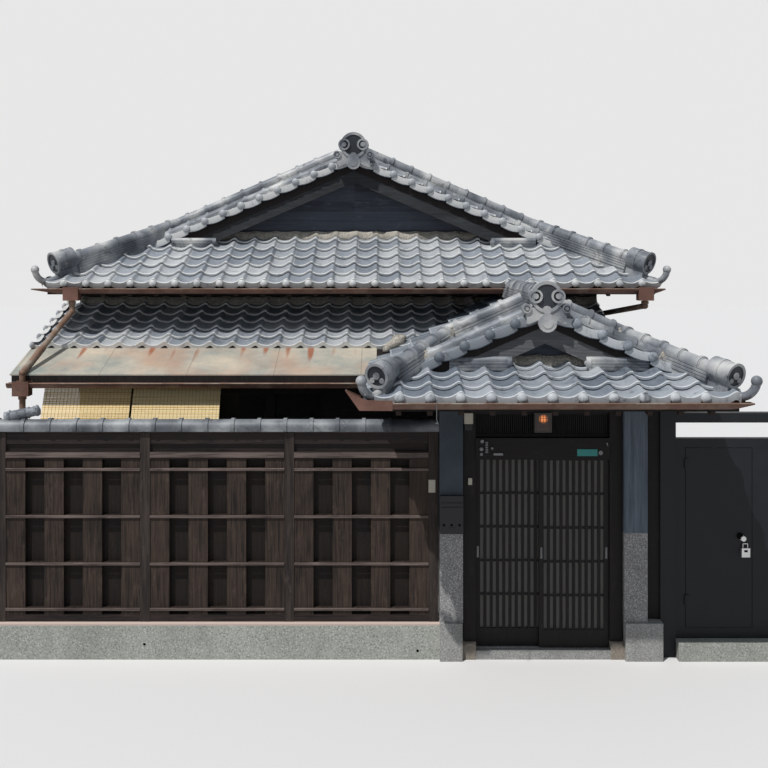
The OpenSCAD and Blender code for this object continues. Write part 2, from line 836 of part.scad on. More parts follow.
// End ornament of a ridge, standing across X on z = 0 with its face at y = 0:
// an arched head with a raised rim, between two scrolls over two smaller ones
module ornament(h, t) {
    head = [0, 0.52 * h];
    big = [0.34 * h, 0.54 * h];
    small = [0.6 * h, 0.17 * h];
    along_y([0, t]) {
        translate(head) circle(0.48 * h);
        for (side = [-1, 1]) {
            translate([side * big[0], big[1]]) circle(0.22 * h);
            translate([side * small[0], small[1]]) circle(0.145 * h);
        }
        translate([-small[0], -0.3 * h]) square([2 * small[0], 0.5 * h]);
    }
    translate([0, 0, head[1]]) rotate([90, 0, 0]) translate([0, 0, -5])
        linear_extrude(17) difference() {
            circle(0.48 * h - 2);
            circle(0.38 * h);
        }
    for (side = [-1, 1]) {
        translate([side * big[0], 0, big[1]]) scroll(0.21 * h, 22);
        translate([side * small[0], 0, small[1]]) scroll(0.135 * h, 16);
    }
    translate([0, 0, 0.12 * h]) rotate([90, 0, 0]) translate([0, 0, -5]) cylinder(r = 0.13 * h, h = 31);
}

// Drum at the foot of a corner ridge, in the hip's own lines with its back at z = 0: a rimmed face with two scrolls
module corner_ornament(r, len, up) {
    translate([-0.55 * r, -bed_drop, -len + 6]) cube([1.1 * r, up + bed_drop, len - 8]);
    translate([0, up, -len]) {
        cylinder(r = r, h = len - seat);
        translate([0, 0, len / 2]) cylinder(r = r + 6, h = 24);
        translate([0, 0, -12]) {
            translate([0, 0, -3]) cylinder(r = 0.3 * r, h = 23);
            linear_extrude(20) difference() {
                circle(r + 9);
                circle(r - 14);
            }
            for (side = [-1, 1])
                translate([side * 0.45 * r, -0.4 * r, 1]) cylinder(r = 0.23 * r, h = 19);
        }
    }
}

// Corner tile at the left front corner: it runs out under the drum, curls up past the eaves and ends in a ball
tip_r = 36;
tip_up = 0.9 * tip_r;
tip_ball = 46;
tip_lift = 140;

module corner_tip(half, front, eave_z, pitch, slant, run) {
    out = (tip_reach - tip_ball) * sqrt(2);
    turn = 2 * atan(tip_lift / out);
    bend = out / sin(turn);
    on_hip(half, front, eave_z, pitch, slant, 0)
        translate([0, tip_up, 0]) cylinder(r = tip_r, h = hip_len(pitch, slant, run));
    translate([-half, front, eave_z + tip_up])
        rotate([0, 0, -135]) {
            rotate([90, -90, 0]) sphere(r = tip_r + 4);
            translate([0, 0, bend]) rotate([90, 0, 0]) rotate([0, 0, -90])
                rotate_extrude(angle = turn) translate([bend, 0]) circle(tip_r);
            translate([out, 0, tip_lift]) rotate([90, 0, 0]) sphere(r = tip_ball);
        }
}

gate_ornament_h = 290;
gate_ornament_t = 80;
gate_drum_r = 100;
gate_drum_up = 185;

module gate_ornaments()
    color("gray") placed() at_gate_roof() {
        difference() {
            translate([0, gate_ridge_y - seat - gate_ornament_t, gate_eave_z + gate_pitch * gate_half + 20])
                ornament(gate_ornament_h, gate_ornament_t);
            under_slopes(gate_half, gate_eave_z, gate_pitch, -seat, [gate_front, gate_back + 10]);
        }
        for (side = [0, 1]) mirror([side, 0, 0])
            difference() {
                union() {
                    on_hip(gate_half, gate_front, gate_eave_z, gate_pitch, gate_slant, gate_corner_start)
                        corner_ornament(gate_drum_r, hip_len(gate_pitch, gate_slant, gate_corner_start - 40),
                            gate_drum_up);
                    corner_tip(gate_half, gate_front, gate_eave_z, gate_pitch, gate_slant, gate_corner_start - 60);
                }
                under_gate_roof(-seat);
            }
    }

// Side gate

side_board_half = 25;

module side_board()
    color("saddlebrown") placed() at_gate()
        block([pier_out + seat, side_post_x - seat], [-side_board_half, side_board_half],
            [pier_base_h + seat, beam_top]);

side_head = side_door_top + run_gap;
side_head_h = 85;
over_beam_z = 2190;
over_beam_h = 90;
threshold_h = 170;
knuckle_h = 45;
pin_r = 4;
pin_fit = 0.05;
hinge_levels = [487, 1760];
hinge_leaf = 12;
side_post_half = 50;
over_beam_half = 45;
jamb_back = 40;

module side_gate_frame()
    color("dimgray") placed() at_gate() {
        jamb_y = [side_face, jamb_back];
        post_y = [-side_post_half, side_post_half];
        frame_z = [threshold_h + seat, side_head + side_head_h];
        block([side_post_x, jamb_x], post_y, [0, beam_top]);
        block([jamb_x - 1, jamb_x + jamb_w], jamb_y, frame_z);
        block([end_jamb_x, end_jamb_x + jamb_w], jamb_y, frame_z);
        block([jamb_x, end_jamb_x + jamb_w], jamb_y, [side_head, side_head + side_head_h]);
        block([jamb_x, end_jamb_x + jamb_w], jamb_y, [threshold_h + seat, side_door_z - run_gap]);
        block([end_jamb_x + jamb_w - 1, side_end], post_y, [0, over_beam_z + over_beam_h]);
        block([jamb_x - 1, side_end], [-over_beam_half, over_beam_half], [over_beam_z, over_beam_z + over_beam_h]);
        for (z = hinge_levels)
            translate([jamb_x + jamb_w, side_face - hinge_r, z]) {
                cylinder(r = hinge_r, h = knuckle_h);
                translate([-hinge_leaf, 0, 0]) cube([hinge_leaf, hinge_r + 1, knuckle_h]);
                cylinder(r = pin_r, h = 2 * knuckle_h);
            }
    }

module side_gate_threshold()
    color("lightgray") placed() at_gate()
        block([jamb_x + seat, end_jamb_x + jamb_w - 1 - seat], [-base_block_half, base_block_half], [0, threshold_h]);

module side_gate_door()
    color("darkslategray") placed() at_gate() {
        block([door_x, door_x + side_door_w], [side_face, side_face + side_door_t], [side_door_z, side_door_top]);
        for (z = hinge_levels)
            difference() {
                union() {
                    translate([jamb_x + jamb_w, side_face - hinge_r, z + knuckle_h + seat])
                        cylinder(r = hinge_r, h = knuckle_h);
                    translate([jamb_x + jamb_w, side_face - hinge_r, z + knuckle_h + seat])
                        cube([run_gap + 30, hinge_r, knuckle_h]);
                }
                translate([jamb_x + jamb_w, side_face - hinge_r, z]) cylinder(r = pin_r + pin_fit, h = far);
            }
    }

// Round knob on its rose, and the key box that hangs under it
lock_x = 97;
lock_z = 1116;
knob_r = 24;
knob_out = 35;
key_box = [78, 38, 84];
key_box_x = 68;
key_box_top = 1022;
shackle_r = 4;
shackle_half = 22;
shackle_h = 40;

module side_gate_lock()
    color("silver") placed() at_gate() {
        translate([door_x + side_door_w - lock_x, side_face - seat, lock_z]) {
            rotate([90, 0, 0]) cylinder(r = knob_r + 2, h = 10);
            rotate([90, 0, 0]) cylinder(r = knob_r / 2, h = knob_out + 5);
            translate([0, -knob_out, 0]) rotate([90, 0, 0]) cylinder(r = knob_r, h = knob_r + 1);
        }
        translate([door_x + side_door_w - key_box_x, side_face - seat - key_box[1] / 2, key_box_top]) {
            translate([-key_box[0] / 2, -key_box[1] / 2, -key_box[2]]) cube(key_box);
            for (side = [-1, 1])
                translate([side * shackle_half, 0, -1]) cylinder(r = shackle_r, h = shackle_h + 1);
            translate([-shackle_half, 0, shackle_h - 2]) rotate([0, 90, 0])
                cylinder(r = shackle_r + 0.5, h = 2 * shackle_half);
        }
    }

module side_gate_panel()
    color("darkslategray") placed() at_gate()
        block([panel_x, panel_x + side_panel_w + run_gap - seat], [side_face, side_face + side_door_t],
            [side_door_z - run_gap + seat, side_head - seat]);

// House body

footing_lip = 10;
footing_w = 170;

module house_footing() {
    out = house_half + footing_lip;
    front = front_wall_y - footing_lip;
    back = rear_y + footing_lip;
    color("silver") placed() {
        block([-out, out], [front, front + footing_w], [0, footing_h]);
        block([-out, out], [back - footing_w, back], [0, footing_h]);
        both_sides([out - footing_w, out], [front + footing_w + seat, back - footing_w - seat], [0, footing_h]);
    }
}

module house_floor()
    color("peru") placed()
        block([-house_half + wall_t + seat, house_half - wall_t - seat],
            [front_wall_y + wall_t + seat, rear_y - wall_t - seat], [footing_h + seat, floor_z]);

window_x = -house_half + window_inset;

module under_main_roof(drop)
    under_hips(main_half, main_front, main_back, main_eave_z, main_pitch, main_pitch, drop);

// The same with the overhanging verges of the two gables
module under_main_verges(drop) {
    under_main_roof(drop);
    under_slopes(main_half, main_eave_z, main_pitch, drop,
        [main_front + main_verge_back + drop, main_back - main_verge_back - drop]);
}

module front_wall()
    color("saddlebrown") placed()
        difference() {
            intersection() {
                block([-house_half, house_half], [front_wall_y, front_wall_y + wall_t], [footing_h + seat, far]);
                under_lower_roof(lower_deck + seat);
            }
            block([window_x, window_x + window_w], [0, far], [floor_z, window_head]);
            block([gate_x - entrance_w / 2, gate_x + entrance_w / 2], [0, far], [floor_z, window_head]);
        }

// How far the wall over the lower roof reaches down behind it, and its wing past the left side wall
upper_wall_lap = 250;
wing_w = 370;

module upper_front_wall()
    color("saddlebrown") placed()
        intersection() {
            for (x = [
                [-house_half + wall_t + seat, house_half - wall_t - seat], [-house_half - wing_w, -house_half - seat]
            ])
                block(x, [upper_wall_y, upper_wall_y + wall_t],
                    [lower_eave_z + lower_pitch * (upper_wall_y - lower_eave_y) - upper_wall_lap, far]);
            under_main_roof(main_deck + seat);
        }

module side_walls()
    color("saddlebrown") placed()
        intersection() {
            both_sides([house_half - wall_t, house_half], [front_wall_y + wall_t + seat, rear_y - wall_t - seat],
                [footing_h + seat, far]);
            under_main_roof(main_deck + seat);
            union() {
                under_lower_roof(lower_deck + seat);
                block([-far, far], [upper_wall_y, far], [0, far]);
            }
        }

module rear_wall()
    color("saddlebrown") placed()
        difference() {
            intersection() {
                block([-house_half, house_half], [rear_y - wall_t, rear_y], [footing_h + seat, far]);
                under_main_roof(main_deck + seat);
            }
            block([-rear_window_w / 2, rear_window_w / 2], [0, far], [floor_z + rear_sill, window_head]);
        }

// Window frame with upright leaves, and a doorway's closed leaves
frame_w = 45;
frame_d = 60;
frame_back = 30;

module sashes(x, z, y, leaves) {
    step = (x[1] - x[0]) / leaves;
    difference() {
        block([x[0] + seat, x[1] - seat], [y, y + frame_d], [z[0] + seat, z[1] - seat]);
        for (i = [0:leaves - 1])
            block([x[0] + i * step + frame_w, x[0] + (i + 1) * step - frame_w], [0, far],
                [z[0] + 2 * frame_w, z[1] - frame_w]);
    }
}

module windows()
    color("sienna") placed() {
        sashes([window_x, window_x + window_w], [floor_z, window_head], front_wall_y + frame_back, 4);
        sashes([-rear_window_w / 2, rear_window_w / 2], [floor_z + rear_sill, window_head],
            rear_y - wall_t + frame_back, 3);
    }

glass_t = 5;

module panes(x, z, y, leaves) {
    step = (x[1] - x[0]) / leaves;
    for (i = [0:leaves - 1])
        block([x[0] + i * step + frame_w + seat, x[0] + (i + 1) * step - frame_w - seat],
            [y + frame_d / 2, y + frame_d / 2 + glass_t], [z[0] + 2 * frame_w + seat, z[1] - frame_w - seat]);
}

module window_glass()
    color("lightblue") placed() {
        panes([window_x, window_x + window_w], [floor_z, window_head], front_wall_y + frame_back, 4);
        panes([-rear_window_w / 2, rear_window_w / 2], [floor_z + rear_sill, window_head],
            rear_y - wall_t + frame_back, 3);
        panes([gate_x - entrance_w / 2, gate_x + entrance_w / 2], [floor_z, window_head],
            front_wall_y + frame_back + 20, 2);
    }

entrance_bars = 7;
entrance_bar = [24, 20];

module entrance_door()
    color("sienna") placed() {
        x = [gate_x - entrance_w / 2, gate_x + entrance_w / 2];
        step = entrance_w / 2 / (entrance_bars + 1);
        sashes(x, [floor_z, window_head], front_wall_y + frame_back, 2);
        for (leaf = [0, 1], i = [1:entrance_bars])
            translate([x[0] + leaf * entrance_w / 2 + i * step - entrance_bar[0] / 2,
                front_wall_y + frame_back + 25, floor_z + 2 * frame_w - 10])
                cube([entrance_bar[0], entrance_bar[1], window_head - floor_z - 3 * frame_w + 15]);
    }

// Roofs of the house

module lower_roof() {
    x = [-house_half - lower_verge, house_half];
    reach = upper_wall_y - seat - lower_eave_y;
    color("darkgray") placed() {
        front_sheet(lower_eave_y, lower_eave_z, lower_pitch, lower_deck, reach, x, [
            [x[0], lower_eave_y], [x[1], lower_eave_y], [x[1], lower_eave_y + reach], [x[0], lower_eave_y + reach]
        ]);
        // Its tiles stay clear of the gate's roof
        difference() {
            translate([x[0], lower_eave_y, lower_eave_z])
                tile_waves(x[1] - x[0], lower_pitch, reach)
                    translate([tile_in, apron_run + tile_in])
                        square([x[1] - x[0] - 2 * tile_in, reach - apron_run - 2 * tile_in]);
            translate([gate_x - gate_roof_shift, 0, 0])
                under_slopes(gate_half, gate_eave_z, gate_pitch, -1.2 * tile_high, [gate_front, upper_wall_y]);
        }
    }
}

// Sheet metal over the eave, with a strip of its own along the verge
apron_t = 12;
apron_strip = 150;
apron_gap = 25;
apron_past = 20;

module lower_apron() {
    x = [-house_half - lower_verge - apron_past, gate_x - gate_half - gate_roof_shift];
    color("darkseagreen") placed()
        translate([0, 0, apron_t + seat])
            for (part = [[x[0], x[0] + apron_strip], [x[0] + apron_strip + apron_gap, x[1]]])
                front_sheet(lower_eave_y, lower_eave_z, lower_pitch, apron_t, apron_run, part, [
                    [part[0], 0], [part[1], 0],
                    [part[1], lower_eave_y + apron_run], [part[0], lower_eave_y + apron_run]
                ]);
}

module main_roof()
    color("darkgray") placed() {
        for (side = [0, 1]) mirror([side, 0, 0])
            left_sheet(main_half, main_eave_z, main_pitch, main_deck, [main_front, main_back], concat(
                hip_plan(main_half, main_front, main_verge_back, 1), [
                    [-1, main_back - main_verge_back],
                    [-main_half + main_verge_back - seat, main_back - main_verge_back],
                    [-main_half, main_back - seat]
                ]));
        both_ends()
            front_sheet(main_front, main_eave_z, main_pitch, main_deck, main_gable_back, [-main_half, main_half],
                front_plan(main_half, main_front, main_verge_back, main_gable_back, 1, main_deck / main_pitch));
        for (turn = [0, 180])
            translate([0, (main_front + main_back) / 2, main_eave_z]) rotate([0, 0, turn]) {
                translate([-main_half, -main_depth / 2, 0])
                    tile_waves(main_w, main_pitch, main_gable_back)
                        polygon(end_field(main_half, 1, hip_room(main_corner_w, 1),
                            main_verge_back - run_gap, main_gable_foot - 4 * run_gap, main_gable_back));
                translate([main_half, -main_depth / 2, 0]) rotate([0, 0, 90])
                    tile_waves(main_depth, main_pitch, main_half) main_side_field();
            }
    }

// Plan of the tiles on a side of the main roof, between the ridges at its two verges
module main_side_field() {
    near = side_field(1, hip_room(main_corner_w, 1), main_rear_ridge + bed_room(corner_w),
        main_half - bed_room(main_ridge_w));
    polygon(concat(near, [for (i = [len(near) - 1:-1:0]) [main_depth - near[i][0], near[i][1]]]));
}

// Both ends of the main roof
module both_ends() {
    children();
    translate([0, main_front + main_back, 0]) mirror([0, 1, 0]) children();
}

module main_gables()
    color("dimgray") placed() both_ends()
        intersection() {
            block([-far, far], [main_front + main_gable_back + seat, main_front + main_gable_back + 2 * gable_t],
                [main_eave_z + main_pitch * main_gable_back - main_deck, far]);
            under_slopes(main_half, main_eave_z, main_pitch, main_deck + seat, [main_front, main_back]);
        }

main_barge_h = 140;
main_barge_t = 40;

module main_bargeboards()
    color("gray") placed() both_ends()
        difference() {
            bargeboards(main_half, main_eave_z, main_pitch, main_deck,
                main_half - main_gable_back - main_deck / main_pitch - 20, main_barge_h,
                [main_front + main_verge_back + 5, main_front + main_verge_back + 5 + main_barge_t]);
            under_rise(main_front, main_eave_z, main_pitch, -seat, 2 * main_gable_back, [-far, far]);
        }

main_cap = 75;
main_corner_cap = 68;
main_corner_w = corner_w + 20;
main_ridge_w = 260;
main_ridge_y = main_front + main_verge_back - 20;
main_corner_start = 260;
main_verge_ridge = main_verge_back + 90;
main_rear_ridge = main_verge_back + 300;
main_gable_foot = 1740;

module main_ridges()
    color("gray") placed() {
        difference() {
            translate([0, 0, main_ridge_z])
                along_y([main_ridge_y, main_front + main_back - main_ridge_y])
                    ridge_section(main_ridge_w, ridge_courses, main_cap);
            under_slopes(main_half, main_eave_z, main_pitch, -seat, [main_front, main_back]);
        }
        both_ends() for (side = [0, 1]) mirror([side, 0, 0])
            difference() {
                union() {
                    on_hip(main_half, main_front, main_eave_z, main_pitch, 1, main_corner_start)
                        linear_extrude(hip_len(main_pitch, 1, main_rear_ridge - main_corner_start))
                            ridge_section(main_corner_w, ridge_courses, main_corner_cap);
                    verge_ridge(main_half, main_front, main_eave_z, main_pitch, 1, main_verge_ridge,
                        verge_w, 1, verge_cap);
                    verge_ridge(main_half, main_front, main_eave_z, main_pitch, 1, main_rear_ridge,
                        corner_w, ridge_courses, gate_cap);
                    foot_ridge([-main_half + main_gable_back, -main_gable_foot], main_front + main_verge_back + 130,
                        main_eave_z + main_pitch * (main_verge_back + 130) + foot_cap / 2);
                }
                under_main_verges(-seat);
            }
    }

main_ornament_h = 330;
main_ornament_t = 110;
main_drum_r = 120;
main_drum_up = 210;

module main_ornaments()
    color("gray") placed() both_ends() {
        difference() {
            translate([0, main_ridge_y - seat - main_ornament_t, main_ridge_z + 20])
                ornament(main_ornament_h, main_ornament_t);
            under_slopes(main_half, main_eave_z, main_pitch, -seat, [main_front, main_back]);
        }
        for (side = [0, 1]) mirror([side, 0, 0])
            difference() {
                union() {
                    on_hip(main_half, main_front, main_eave_z, main_pitch, 1, main_corner_start)
                        corner_ornament(main_drum_r, hip_len(main_pitch, 1, main_corner_start - 100), main_drum_up);
                    corner_tip(main_half, main_front, main_eave_z, main_pitch, 1, main_corner_start - 40);
                }
                under_main_verges(-seat);
            }
    }

// Rain goods

// Side view of a trough whose bottom rises to the rim over a run at each end
end_lip = 8;
under_trough = 20;

function rise_run(run, up) = run * (gutter_r + under_trough - end_lip + up) / gutter_r;

module trough_side(x, left, right, up)
    polygon([
        [x[0], up - end_lip], [x[0] + rise_run(left, up), -gutter_r - under_trough],
        [x[1] - rise_run(right, up), -gutter_r - under_trough], [x[1], up - end_lip], [x[1], 0], [x[0], 0]
    ]);

// Half-round trough along X, about its own rim line
module trough(x, left, right)
    difference() {
        intersection() {
            along_x(x) circle(gutter_r);
            along_y([-2 * gutter_r, 2 * gutter_r]) trough_side(x, left, right, 0);
        }
        intersection() {
            along_x(x) circle(gutter_r - gutter_t);
            along_y([-2 * gutter_r, 2 * gutter_r])
                translate([0, 0.5]) trough_side([x[0] + 2 * gutter_t, x[1] - 2 * gutter_t], left, right, gutter_t);
        }
    }

// Turned-up end of the gate's gutter, past the left corner of the eave at x = 0
scoop_out = 235;
scoop_foot = 120;
scoop_in = 150;
scoop_h = 105;
scoop_low = 24;

module gutter_scoop() {
    under = -gutter_r - 2;
    difference() {
        along_y([under, gutter_r - 2])
            polygon([
                [-scoop_out, scoop_h], [-scoop_foot, under], [scoop_in, under], [scoop_in, scoop_low],
                [-scoop_foot / 2, scoop_low + 6], [-scoop_foot, scoop_h / 2]
            ]);
        along_y([under + gutter_t, gutter_r - 2 - gutter_t])
            polygon([
                [-scoop_out + gutter_t + 1, scoop_h], [-scoop_foot + gutter_t, under + gutter_t],
                [scoop_in + 1, under + gutter_t], [scoop_in + 1, 2 * scoop_h],
                [-scoop_out + gutter_t + 1, 2 * scoop_h]
            ]);
        // The side towards the eave stays low under the tiles
        block([-scoop_foot + 10, far], [under + gutter_t, far], [-6, far]);
    }
}

// Box that gathers a gutter's water over a pipe, about the gutter's rim line
head_w = 170;
head_h = 150;
head_up = 20;
head_out = 15;

module rain_head()
    difference() {
        block([-head_w / 2, head_w / 2], [-gutter_r - head_out, gutter_r], [-head_h + head_up, head_up]);
        block([-far, far], [-gutter_r + gutter_t, gutter_r - gutter_t], [-gutter_r, head_up + 1]);
    }

main_gutter_z = main_eave_z - 45;
lower_gutter_z = lower_eave_z - 70;
gate_gutter_z = gate_eave_z - 10;
gutter_past = 90;
end_rise = 140;
main_gutter_y = main_front - gutter_r - seat;
rear_gutter_y = main_back + gutter_r + seat;
lower_gutter_y = lower_eave_y - gutter_r - seat;
left_head_x = -main_half + 297;
right_head_x = main_half - 130;
lower_head_x = -house_half - lower_verge + 134;
rear_head_x = house_half - 300;

module gutters()
    color("saddlebrown") placed() {
        translate([gate_x - gate_roof_shift, gate_front - gutter_r - seat, gate_gutter_z]) {
            trough([-gate_half + scoop_in - 2, gate_half + gutter_past], gutter_t, 1.5 * end_rise);
            translate([-gate_half, 0, 0]) gutter_scoop();
        }
        translate([0, lower_gutter_y, lower_gutter_z]) {
            trough([-house_half - lower_verge - apron_past, gate_x - gate_half - gate_roof_shift],
                gutter_t, gutter_t);
            translate([lower_head_x, 0, 0]) rain_head();
        }
        translate([0, main_gutter_y, main_gutter_z]) {
            trough([-main_half - tip_reach, main_half + gutter_past], 2.5 * end_rise, end_rise);
            for (x = [left_head_x, right_head_x]) translate([x, 0, 0]) rain_head();
        }
        translate([0, rear_gutter_y, main_gutter_z]) {
            trough([-main_half - gutter_past, main_half + gutter_past], end_rise, end_rise);
            for (x = [-rear_head_x, rear_head_x]) translate([x, 0, 0]) mirror([0, 1, 0]) rain_head();
        }
    }

pipe_r = 32;
elbow = 5;
pipe_gap = 12;
collar_out = 10;
collar_drop = 8;
neck = 60;

// Round pipe through a row of points, with round bends
module pipe(points)
    for (i = [0:len(points) - 2]) {
        step = points[i + 1] - points[i];
        translate(points[i])
            rotate([0, acos(step[2] / norm(step)), atan2(step[1], step[0])])
                cylinder(r = pipe_r, h = norm(step));
        if (i > 0) translate(points[i]) sphere(r = pipe_r + elbow);
    }

// Collar round the top of a pipe, under its rain head
module pipe_collar()
    translate([0, 0, -collar_drop - neck / 2]) cylinder(r = pipe_r + collar_out, h = neck / 2);

// Strap and stub that hold a pipe to a wall face at the given side
bracket_levels = [900, 2200];
strap_h = 30;

module pipe_bracket(side)
    for (z = bracket_levels)
        translate([0, 0, z]) {
            cylinder(r = pipe_r + 4, h = strap_h);
            rotate([0, 90, side]) translate([-strap_h / 2, 0, 0]) cylinder(r = 8, h = pipe_r + pipe_gap - seat);
        }

// Fall of a pipe's slanted run from its neck back to the wall
side_fall = 160;
rear_fall = 240;
side_pipe_y = upper_wall_y + 60;
roof_bend = 20;

module downpipes() {
    main_head_z = main_gutter_z - head_h + head_up - seat;
    lower_head_z = lower_gutter_z - head_h + head_up - seat;
    roof_z = lower_eave_z + pipe_r + apron_t + 3 * seat;
    wall_x = house_half + pipe_gap + pipe_r;
    wall_y = rear_y + pipe_gap + pipe_r;
    color("saddlebrown") placed() {
        // Over the lower roof, from the main gutter to the lower gutter
        pipe([
            [left_head_x, main_gutter_y, main_head_z],
            [left_head_x, main_gutter_y, main_head_z - 2 * neck],
            [lower_head_x, lower_eave_y + roof_bend, roof_z + apron_t + lower_pitch * roof_bend],
            [lower_head_x, lower_gutter_y, roof_z - apron_t],
            [lower_head_x, lower_gutter_y, lower_gutter_z - sqrt(pow(gutter_r - gutter_t, 2) - pow(pipe_r, 2)) + 1]
        ]);
        translate([left_head_x, main_gutter_y, main_head_z]) pipe_collar();
        // Down from the lower gutter
        translate([lower_head_x, lower_gutter_y, 0]) pipe([[0, 0, 0], [0, 0, lower_head_z]]);
        translate([lower_head_x, lower_gutter_y, lower_head_z]) pipe_collar();
        // Back to the right wall and down it
        pipe([
            [right_head_x, main_gutter_y, main_head_z],
            [right_head_x, main_gutter_y, main_head_z - neck],
            [wall_x, side_pipe_y, main_head_z - neck - side_fall],
            [wall_x, side_pipe_y, 0]
        ]);
        translate([right_head_x, main_gutter_y, main_head_z]) pipe_collar();
        translate([wall_x, side_pipe_y, 0]) pipe_bracket(180);
        // Down the rear wall
        for (x = [-rear_head_x, rear_head_x]) {
            pipe([
                [x, rear_gutter_y, main_head_z],
                [x, rear_gutter_y, main_head_z - neck],
                [x, wall_y, main_head_z - neck - rear_fall],
                [x, wall_y, 0]
            ]);
            translate([x, rear_gutter_y, main_head_z]) pipe_collar();
            translate([x, wall_y, 0]) pipe_bracket(-90);
        }
    }
}

// Blinds hung under the lower eave

blind_t = 10;
blind_top = 2340;
blind_h = 1500;
blind_w = 915;
blind_x = -3190;
blind_apart = 20;
blind_back = 80;
cord_in = 100;
cord_half = 4;

module reed_blinds()
    color("khaki") placed()
        for (i = [0, 1])
            translate([blind_x + i * (blind_w + blind_apart), lower_eave_y + blind_back, 0]) {
                block([0, blind_w], [0, blind_t], [blind_top - blind_h, blind_top]);
                for (x = [cord_in, blind_w - cord_in])
                    intersection() {
                        block([x - cord_half, x + cord_half], [0, blind_t], [blind_top - 1, far]);
                        translate([0, -lower_eave_y - blind_back, 0]) under_lower_roof(lower_deck + seat);
                    }
            }

fence_base();
fence_posts();
fence_rails();
fence_panel_left();
fence_panel_middle();
fence_panel_right();
fence_cap();
gate_base_blocks();
gate_post_stones();
gate_pier_granite();
gate_pier_render();
gate_posts();
gate_sill();
gate_lintel();
gate_transom();
gate_lamp();
gate_beams();
gate_leaf_left();
gate_leaf_right();
gate_glass_left();
gate_glass_right();
letter_box();
gate_roof();
gate_gable();
gate_bargeboards();
gate_ridges();
gate_ornaments();
side_board();
side_gate_frame();
side_gate_threshold();
side_gate_door();
side_gate_lock();
side_gate_panel();
house_footing();
house_floor();
front_wall();
upper_front_wall();
side_walls();
rear_wall();
windows();
window_glass();
entrance_door();
lower_roof();
lower_apron();
main_roof();
main_gables();
main_bargeboards();
main_ridges();
main_ornaments();
gutters();
downpipes();
reed_blinds();
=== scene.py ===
import bmesh
import bpy
import math
import random
from mathutils import Matrix, Vector


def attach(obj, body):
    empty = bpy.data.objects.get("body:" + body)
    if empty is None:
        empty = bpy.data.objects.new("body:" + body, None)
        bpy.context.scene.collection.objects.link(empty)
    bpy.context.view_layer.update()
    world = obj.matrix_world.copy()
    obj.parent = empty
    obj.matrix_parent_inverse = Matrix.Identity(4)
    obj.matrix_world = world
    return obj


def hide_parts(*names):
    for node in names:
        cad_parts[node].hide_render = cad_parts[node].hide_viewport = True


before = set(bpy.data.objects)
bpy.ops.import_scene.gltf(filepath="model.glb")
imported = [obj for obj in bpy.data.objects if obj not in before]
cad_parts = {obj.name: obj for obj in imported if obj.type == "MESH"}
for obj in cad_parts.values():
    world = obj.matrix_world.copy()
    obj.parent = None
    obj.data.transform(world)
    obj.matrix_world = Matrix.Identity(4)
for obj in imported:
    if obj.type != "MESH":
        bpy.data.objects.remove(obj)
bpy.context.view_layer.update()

# The house's own lines, in metres: X from its centre line, Y from the gate line, Z from the ground
MIDDLE = Vector((0.386, 4.110, 0))
UP = Vector((0, 0, 1))
HOUSE_HALF = 2.990
WALL_FRONT = 1.650
UPPER_WALL = 2.930
REAR = 8.380
MAIN_HALF = 3.435
MAIN_FRONT = 1.920
MAIN_BACK = 9.390
MAIN_EAVE = 3.420
MAIN_PITCH = 0.43
MAIN_TOP = MAIN_EAVE + MAIN_PITCH * MAIN_HALF
MAIN_VERGE = 0.950
MAIN_GABLE = 1.220
MAIN_DECK = 0.110
LOWER_LEFT = -3.510
LOWER_FRONT = 1.030
LOWER_EAVE = 2.500
LOWER_PITCH = 0.335
LOWER_DECK = 0.080
APRON = 0.670
GATE_X = 1.850
GATE_ROOF_X = 1.790
GATE_HALF = 1.500
GATE_FRONT = -1.170
GATE_EAVE = 2.560
GATE_PITCH = 0.44
GATE_TOP = GATE_EAVE + GATE_PITCH * GATE_HALF
GATE_FRONT_PITCH = 0.25
GATE_SLANT = GATE_FRONT_PITCH / GATE_PITCH
GATE_VERGE = 0.600
GATE_GABLE = 0.760
GATE_DECK = 0.090
LINTEL_FACE = -0.0748
FENCE_START = -3.209
FENCE_BAY = 1.347
POST_EDGE = 0.0453
BED = 0.060
COURSE = 0.027
GUTTER_R = 0.055
GUTTER_OUT = 0.0553

# Camera
camera_data = bpy.data.cameras.new("street_camera")
camera_data.lens = 46.9
camera_data.sensor_width = 36
camera_data.shift_y = -0.168
camera_data.clip_end = 200
camera = bpy.data.objects.new("street_camera", camera_data)
bpy.context.scene.collection.objects.link(camera)
camera.location = Vector((0.370, -9.390, 3.756)) - MIDDLE
camera.rotation_euler = (math.pi / 2, 0, 0)
bpy.context.scene.camera = camera


# Materials

LOOKS = {}


class Link:
    """A shader socket that takes part in sums."""

    def __init__(self, graph, socket):
        self.graph = graph
        self.socket = socket

    def math(self, operation, a, b=0):
        return self.graph.node("ShaderNodeMath", {"operation": operation}, {0: a, 1: b})

    def __add__(self, other):
        return self.math("ADD", self, other)

    def __sub__(self, other):
        return self.math("SUBTRACT", self, other)

    def __rsub__(self, other):
        return self.math("SUBTRACT", other, self)

    def __mul__(self, other):
        return self.math("MULTIPLY", self, other)

    def larger(self, other):
        return self.math("MAXIMUM", self, other)

    def fraction(self):
        return self.math("FRACT", self)

    def size(self):
        return self.math("ABSOLUTE", self)

    __radd__ = __add__
    __rmul__ = __mul__


